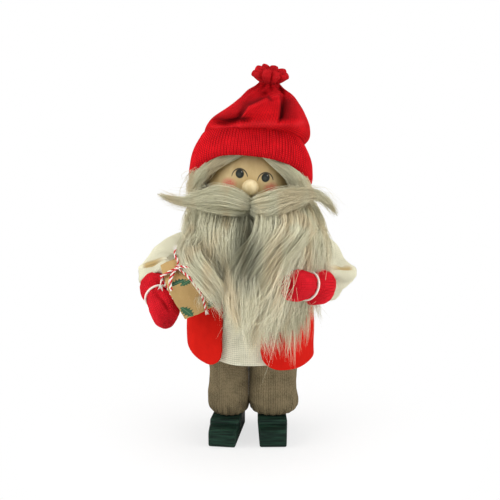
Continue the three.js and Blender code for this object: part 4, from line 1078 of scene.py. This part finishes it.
def strands(name, guides, lock, seed, tips=(0.72, 1.0), pale=0.0):
    rng = np.random.default_rng(seed)
    locks, steps, _ = guides.shape
    perLock = lock["perLock"]
    count = locks * perLock
    lines = np.repeat(guides, perLock, axis=0)
    t = np.linspace(0, 1, steps)
    ahead = unit(np.gradient(lines, axis=1))
    side = unit(np.cross(ahead, np.array([0.17, 0.95, 0.26])))
    up = np.cross(ahead, side)
    angle = rng.uniform(0, fullTurn, count)
    reach = np.sqrt(rng.uniform(0, 1, count)) * np.repeat(rng.uniform(0.5, 1.4, locks), perLock)
    reach *= lock["lockSize"]
    swell = flow(t, [(0, 0.55), (0.3, 1.0), (0.7, 0.75), (1, 0.3)])[:, 0]
    waves = []
    for quarter in (0, math.pi / 2):
        speed, start = rng.uniform(2, 10, (count, 1)), rng.uniform(0, 6.28, (count, 1)) + quarter
        wild = rng.gamma(1.5, 0.7, (count, 1))  # most lie close and a few stray
        waves.append(lock["frizz"] * wild * sin(t * speed + start) * t**1.2)
    acrossLock = (cos(angle) * reach)[:, None] * swell + waves[0]
    outOfLock = (sin(angle) * reach)[:, None] * swell + waves[1]
    lines = lines + side * acrossLock[..., None] + up * outOfLock[..., None]
    want = rng.uniform(*tips, count)[:, None] * t
    k = np.clip((want * (steps - 1)).astype(int), 0, steps - 2)
    f = (want * (steps - 1) - k)[..., None]
    each = np.arange(count)[:, None]
    lines = clearOfParcel(lines[each, k] * (1 - f) + lines[each, k + 1] * f)
    taper = flow(t, [(0, 0.8), (0.2, 1), (0.7, 0.85), (0.92, 0.5), (1, 0.08)])[:, 0]
    radii = lock["thickness"] * rng.uniform(0.6, 1.4, count)[:, None] * taper
    lockTone = np.repeat(rng.normal(0.45 + pale, 0.17, locks), perLock)
    tone = np.clip(lockTone + rng.normal(0, 0.08, count), 0.02, 0.98)
    return tubes(name, lines, radii, 3, tone)


beard = dict(locks=96, perLock=36, lockSize=3.8, thickness=0.11, frizz=1.9, steps=9, chin=147)
tipRows = [(-1, -38, 134), (-0.85, -35, 124), (-0.7, -29, 116), (-0.5, -22, 104), (-0.3, -13, 92)]
tipRows += [(-0.1, 0, 80), (0.1, 12, 74), (0.3, 23, 72), (0.5, 31, 74), (0.7, 37, 88)]
tipRows += [(0.85, 43, 106), (1, 47, 126)]


def beardGuides(count, low, high, over, seed, strays=0.0):
    rng = np.random.default_rng(seed)
    s = rng.uniform(low, high, count)
    depth = rng.uniform(0.6, 1, count) if over else np.sqrt(rng.uniform(0, 0.4, count))
    angle = np.radians(88) * s
    rootReach = 30 + 5 * depth
    rootZ = 163 + 8 * sin(angle) ** 2 - 5 * cos(angle) + rng.normal(0, 2.5, count)
    root = np.stack([rootReach * sin(angle), -1 - rootReach * cos(angle), rootZ], 1)
    tipX, tipZ = flow(s, tipRows).T
    sweep = over * rng.uniform(0.3, 1, count)  # the outer locks fall across the middle
    tipX = tipX + sweep * (21 * bell(s, -0.45, 0.35) - 38 * bell(s, 0.5, 0.34)) + rng.normal(0, 4.5, count)
    tipZ = tipZ + sweep * (16 * bell(s, 0.45, 0.3) - 6 * bell(s, -0.5, 0.25)) + rng.normal(5, 8, count)
    overHand = (rng.uniform(0, 1, count) < strays) * bell(s, 0.5, 0.25)  # some lie on the left mitten
    oneX = np.where(s < 0, 37.5, 43) * sin(angle * 0.95) * (1 + 0.07 * depth)
    oneX += np.sign(s) * 3.5 * bell(s, 0, 0.2)
    oneY = -(14 + 31 * cos(angle)) - 5 * depth
    one = np.stack([oneX, oneY, beard["chin"] + 4 * sin(angle) ** 2 + rng.normal(0, 2, count)], 1)
    midX = 0.5 * oneX + 0.5 * tipX + rng.normal(0, 2.5, count)
    midZ = 0.42 * beard["chin"] + 0.58 * tipZ
    overHand = overHand * ease(31, 20, midX)
    midY = -(40.5 + 8.5 * depth) + midX**2 / 150
    midY = midY - 12 * ease(-16, -30, midX) * ease(136, 122, midZ) - 24 * overHand
    parcelNear = ease(-16, -30, tipX) * ease(134, 122, tipZ) * ease(92, 104, tipZ)
    tipY = -(39.5 + 5.5 * depth) + tipX**2 / 190 - 13 * parcelNear - 14 * overHand
    mid = np.stack([midX, midY, midZ], 1)
    tip = np.stack([tipX, tipY, tipZ], 1)
    return guidesThrough(beard["steps"], (0, 0.26, 0.62, 1), root, one, mid, tip)


def beardCore(u, v):
    s = 2 * np.abs(2 * u - 1) - 1
    angle = np.radians(86) * s
    tip = flow(s, tipRows)
    z = 164 + 8 * sin(angle) ** 2 - v * (164 - np.maximum(tip[:, 1] + 10, 84) + 8 * sin(angle) ** 2)
    topX, topY = 31 * sin(angle), -1 - 31 * cos(angle)
    oneX, oneY = np.where(s < 0, 36, 41) * sin(angle * 0.95), -(15 + 29 * cos(angle))
    lowX = tip[:, 0] * 0.94
    lowY = -39.5 + lowX**2 / 170
    w = ease(0, 0.3, v)
    w2 = ease(0.2, 0.85, v)
    x = (topX * (1 - w) + oneX * w) * (1 - w2) + lowX * w2
    y = (topY * (1 - w) + oneY * w) * (1 - w2) + lowY * w2
    thick = np.where(u < 0.5, 5.0, -1.0) * np.sqrt(np.maximum(1 - s * s, 0))
    thick = thick * ease(1.0, 0.8, v) * ease(-0.05, 0.12, v)
    y = y - thick - 11 * ease(-16, -30, x) * ease(136, 122, z) * ease(96, 106, z)
    return np.stack([x, y, z], 1)


beardTop, beardLow = (0, -30, 160), (0, -30, 120)  # upper and lower points in front of the beard
piece = rolledSheet("beardCore", 96, 48, beardCore)
dress(piece, woolCore)
settleBetween(piece, beardTop, beardLow, "beard")
wisps = dict(locks=1500, perLock=1, lockSize=3.0, thickness=0.07, frizz=5.0)
sweep = dict(beard, locks=40, perLock=34, lockSize=2.4, frizz=1.5)
middle = dict(beard, locks=20, perLock=38, lockSize=2.6, frizz=1.8)
overParcel = dict(beard, locks=30, lockSize=3.0, frizz=2.2)
along = np.linspace(0, 1, beard["steps"])
layers = {
    "beardUnderRight": (-1.0, 0.0, False, 71),
    "beardUnderLeft": (0.0, 1.0, False, 72),
    "beardOverRight": (-1.0, 0.06, True, 73),
    "beardOverLeft": (-0.06, 1.0, True, 74),
}
made = []
for name, (low, high, over, seed) in layers.items():
    guides = beardGuides(beard["locks"], low, high, over, seed, 0.05 if over else 0)
    # the under layers are painted darker as shade of the deep wool, the outer layers lighter
    pale = 0.1 if over else -0.12
    made.append(strands(name, guides, beard, seed, pale=pale))
guides = beardGuides(wisps["locks"], -1, 1, True, 75, 0.4)
made.append(strands("beardWisps", guides, wisps, 76, (0.8, 1.05), 0.35))
rng = np.random.default_rng(79)
guides = []
for n in range(sweep["locks"]):
    x, drop, far = rng.uniform(4, 41), rng.uniform(38, 84), rng.normal(0, 1, 6)
    front = -20 - 33 * math.sqrt(1 - (x / 46) ** 2)
    tip = (max(x - drop * rng.uniform(0.4, 0.8), -16) + 2 * far[0], -52 + far[1], 156 - drop)
    rows = [(0, 0.92 * x, front + 12, 165), (0.16, x, front - 1.5, 156 + far[2])]
    rows += [(0.56, 0.38 * x + 0.62 * tip[0] + far[3], -55 + far[4], 156 - 0.48 * drop), (1, *tip)]
    guides.append(flow(along, rows))
for n in range(middle["locks"]):
    x, far = rng.uniform(-15, 3), rng.normal(0, 1, 6)
    rows = [(0, x + 3, -45, 137), (0.3, x + 1 + far[0], -55, 124 + 2 * far[1])]
    rows += [(0.65, 0.8 * x + far[2], -59 + far[3], 107), (1, 0.6 * x + 2 * far[4], -55, 88 + 4 * far[5])]
    guides.append(flow(along, rows))
made.append(strands("beardSweep", np.array(guides[: sweep["locks"]]), sweep, 70, (0.6, 1.0), 0.1))
# the middle locks are painted paler against the shade they lie in
made.append(strands("beardMiddle", np.array(guides[sweep["locks"] :]), middle, 69, (0.6, 1.0), 0.5))
rng = np.random.default_rng(77)
guides = []
for n in range(overParcel["locks"]):
    x, far = rng.uniform(0, 1), rng.normal(0, 1.2, 6)
    low = [(4 + 10 * x, 5, 18), (8 + 10 * x, -13.4, 15.5), (11 + 10 * x, -14 + far[0], -1)]
    low = parcelPlace([*low, (13 + 13 * x, -12 + far[1], -21 + far[2] * 4)])
    rows = [(0, -31 + 5 * x, -21 - 6 * x, 158), (0.22, -37.5 + 6 * x + far[3], -36 - 4 * x, 147)]
    rows += [(t, *point) for t, point in zip((0.42, 0.6, 0.8, 1), low)]
    guides.append(flow(along, rows))
made.append(strands("beardOverParcel", np.array(guides), overParcel, 78, (0.55, 1.0), 0.2))
for piece in made:
    low = (0, -30, 145) if piece.name == "beardOverParcel" else beardLow
    dress(piece, woolStrand)
    settleBetween(piece, beardTop, low, "beard")
print("beard made")


moustache = dict(locks=76, perLock=32, lockSize=2.2, thickness=0.12, frizz=1.0)
looseMoustache = dict(perLock=6, lockSize=3.6, thickness=0.075, frizz=2.6)
rightRows = [(0, -0.6, -39.6, 166.4, 4.2, 4), (0.13, -6.2, -41.6, 168.3, 7.0, 6)]
rightRows += [(0.3, -16, -40.2, 170.8, 7.4, 6.2), (0.46, -24.8, -36.4, 170.6, 6.0, 5.2)]
rightRows += [(0.62, -34, -31.5, 168.2, 2.6, 3), (0.79, -44.3, -26, 166.4, 0.8, 1.2)]
rightRows += [(1, -59, -21, 170.4, 0.3, 0.3)]
leftRows = [(0, 0.6, -39.6, 165.8, 4.0, 4), (0.1, 5, -41.6, 165.6, 7.4, 6)]
leftRows += [(0.2, 10.5, -42, 166.2, 8.5, 6.6), (0.34, 18, -40, 169, 7.2, 6)]
leftRows += [(0.52, 28.5, -34.5, 171.3, 3.9, 4), (0.7, 39, -29, 171.8, 1.9, 2.2)]
leftRows += [(0.86, 48, -25, 167.5, 0.9, 1.2), (1, 56, -20, 156, 0.3, 0.3)]
moustacheRows = {-1: rightRows, 1: leftRows}  # share, x, y, z, half height, half depth


def moustacheGuides(side, seed):
    rng = np.random.default_rng(seed)
    count = moustache["locks"]
    t = np.linspace(0, 1, 10)
    rows = flow(t, moustacheRows[side])
    angle = rng.uniform(0, fullTurn, count)
    reach = np.sqrt(rng.uniform(0.05, 1, count))
    guides = np.repeat(rows[None, :, :3], count, 0)
    guides[:, :, 2] += (sin(angle) * reach)[:, None] * rows[None, :, 3]
    guides[:, :, 1] -= (cos(angle) * reach)[:, None] * rows[None, :, 4]
    droop = np.maximum(0, -sin(angle)) * rng.uniform(0, 1, count)
    guides[:, :, 2] -= droop[:, None] * (3.5 * bell(t, 0.42, 0.22))[None]
    return guides


def moustacheCore(u, v, side):
    rows = flow(v, moustacheRows[side])
    turn = fullTurn * u
    inside = 0.86 * ease(-0.02, 0.04, v)
    up, ahead = rows[:, 3] * inside * sin(turn), rows[:, 4] * inside * cos(turn)
    return rows[:, :3] + np.stack([0 * u, -ahead, up], 1)


for side, name, node in ((-1, "rightMoustache", "right_moustache"), (1, "leftMoustache", "left_moustache")):
    settle(rolledSheet(name + "Core", 24, 40, moustacheCore, side), woolCore, "head", node)
    piece = strands(name, moustacheGuides(side, 80 + side), moustache, 85 + side, (0.42, 1.0), -0.22)
    settle(piece, woolStrand, "head", node)
    guides = moustacheGuides(side, 90 + side)
    piece = strands(name + "Wisps", guides, looseMoustache, 95 + side, (0.35, 1.0), -0.05)
    settle(piece, woolStrand, "head", node)
print("moustache made")


hair = dict(locks=84, perLock=28, lockSize=2.8, thickness=0.14, frizz=1.9)


def sideHair(side, seed):
    rng = np.random.default_rng(seed)
    count = hair["locks"]
    s = rng.uniform(0, 1, count)
    lay = rng.uniform(0, 1, count)
    turn = np.radians(-90 + side * (8 + 92 * s))
    root = turned(oval(turn, 31.5, 31.5, 7.5), "X", -hat["tilt"])
    goal = np.radians(-90 + side * (58 + 46 * s))
    reach = 34 + 9 * lay * ease(1.2, 0.3, s)
    tip = oval(goal, reach, reach, 1 - 15 * s - 6 * lay + rng.normal(0, 2, count))
    mid = root * 0.45 + tip * 0.55
    mid = mid * ((32 + 5 * lay) / np.linalg.norm(mid, axis=1))[:, None] + (0, 0, 2.5)
    return headPlace(guidesThrough(8, (0, 0.5, 1), root, mid, tip))


def backHair(seed):
    rng = np.random.default_rng(seed)
    count = hair["locks"]
    turn = np.radians(rng.uniform(-5, 185, count))
    lay = rng.uniform(0, 1, count)
    root = turned(oval(turn, 30.5, 30.5, 4.0), "X", -hat["tilt"])
    tip = oval(turn, 26 + 6 * lay, 26 + 6 * lay, -22 - 5 * lay + rng.normal(0, 1.5, count))
    mid = (root + tip) / 2
    mid = mid * ((32 + 4 * lay) / np.linalg.norm(mid, axis=1))[:, None]
    return headPlace(guidesThrough(8, (0, 0.5, 1), root, mid, tip))


def hairCore(u, v):
    turn = np.radians(-28 + 236 * u)
    high = turned(oval(turn, 30, 30, 6.0), "X", -hat["tilt"])
    low = oval(turn, 27, 27, np.where(sin(turn) < -0.1, -9.0, -20.0))
    points = high + (low - high) * v[:, None]
    points *= ((29.6 + 3.2 * sin(np.pi * np.clip(v, 0, 1))) / np.linalg.norm(points, axis=1))[:, None]
    return headPlace(points)


settle(rolledSheet("hairCore", 72, 20, hairCore), woolCore, "head", "hair")
hairGuides = {
    "hairRight": (sideHair(-1, 91), 94),
    "hairLeft": (sideHair(1, 92), 95),
    "hairBack": (backHair(93), 96),
}
for name, (guides, seed) in hairGuides.items():
    settle(strands(name, guides, hair, seed, (0.7, 1.0)), woolStrand, "head", "hair")
print("hair made")


bpy.ops.mesh.primitive_plane_add(size=60, location=(0, 0, -0.0002))
floor = named("floor")
floorPaper, tree, shader = newMaterial("floorPaper", (0.93, 0.93, 0.92), 0.9, 0.0)
glow = tree.nodes.new("ShaderNodeEmission")
glow.inputs["Color"].default_value = (1, 1, 1, 1)
glow.inputs["Strength"].default_value = 1.0
mixed = tree.nodes.new("ShaderNodeMixShader")
ray = tree.nodes.new("ShaderNodeLightPath")
far = useGroup(tree, paintedSpot, Centre=(0, 0, 0), Reach=(0.16, 0.16, 1), Soft=0.7)
plain = calc("MULTIPLY_ADD", far["Mask"], -0.3, 1.0)  # the shadow shows only near the feet
put(mixed.inputs[0], calc("MULTIPLY", ray.outputs["Is Camera Ray"], plain))
put(mixed.inputs[1], shader.outputs[0])
put(mixed.inputs[2], glow.outputs[0])
put(tree.nodes["Material Output"].inputs["Surface"], mixed.outputs[0])
dress(floor, floorPaper)

world = bpy.data.worlds.new("studio")
bpy.context.scene.world = world
world.use_nodes = True
tree = world.node_tree
back = tree.nodes["Background"]
back.inputs["Color"].default_value = (1, 1, 1, 1)
ray = tree.nodes.new("ShaderNodeLightPath")
put(back.inputs["Strength"], calc("MULTIPLY_ADD", ray.outputs["Is Camera Ray"], 0.55, 0.45))

lamps = {
    "keyLamp": ((-720, -320, 330), 0.7, 4.7),
    "fillLamp": ((740, -290, 320), 0.7, 4.3),
    "topLamp": ((0, -60, 800), 0.6, 3.0),
}
for name, (place, size, power) in lamps.items():
    at = inFrame(place)
    bpy.ops.object.light_add(type="AREA", location=tuple(at))
    lamp = named(name)
    lamp.data.size = size
    lamp.data.energy = power
    x, y, z = inFrame((0, -10, 130)) - at
    lamp.rotation_euler = (math.atan2(math.hypot(x, y), -z), 0, math.atan2(x, -y) + math.pi)

view = dict(at=(0, -720, 300), tilt=13.886, lens=80.29, shift=0.0197)  # the photo's camera
aimed = (math.radians(90 - view["tilt"]), 0, 0)
bpy.ops.object.camera_add(location=tuple(inFrame(view["at"])), rotation=aimed)
camera = named("camera")
camera.data.sensor_width = 36
camera.data.lens = view["lens"]
camera.data.shift_y = view["shift"]
camera.data.clip_end = 100
bpy.context.scene.camera = camera
bpy.context.scene.view_settings.view_transform = "Standard"
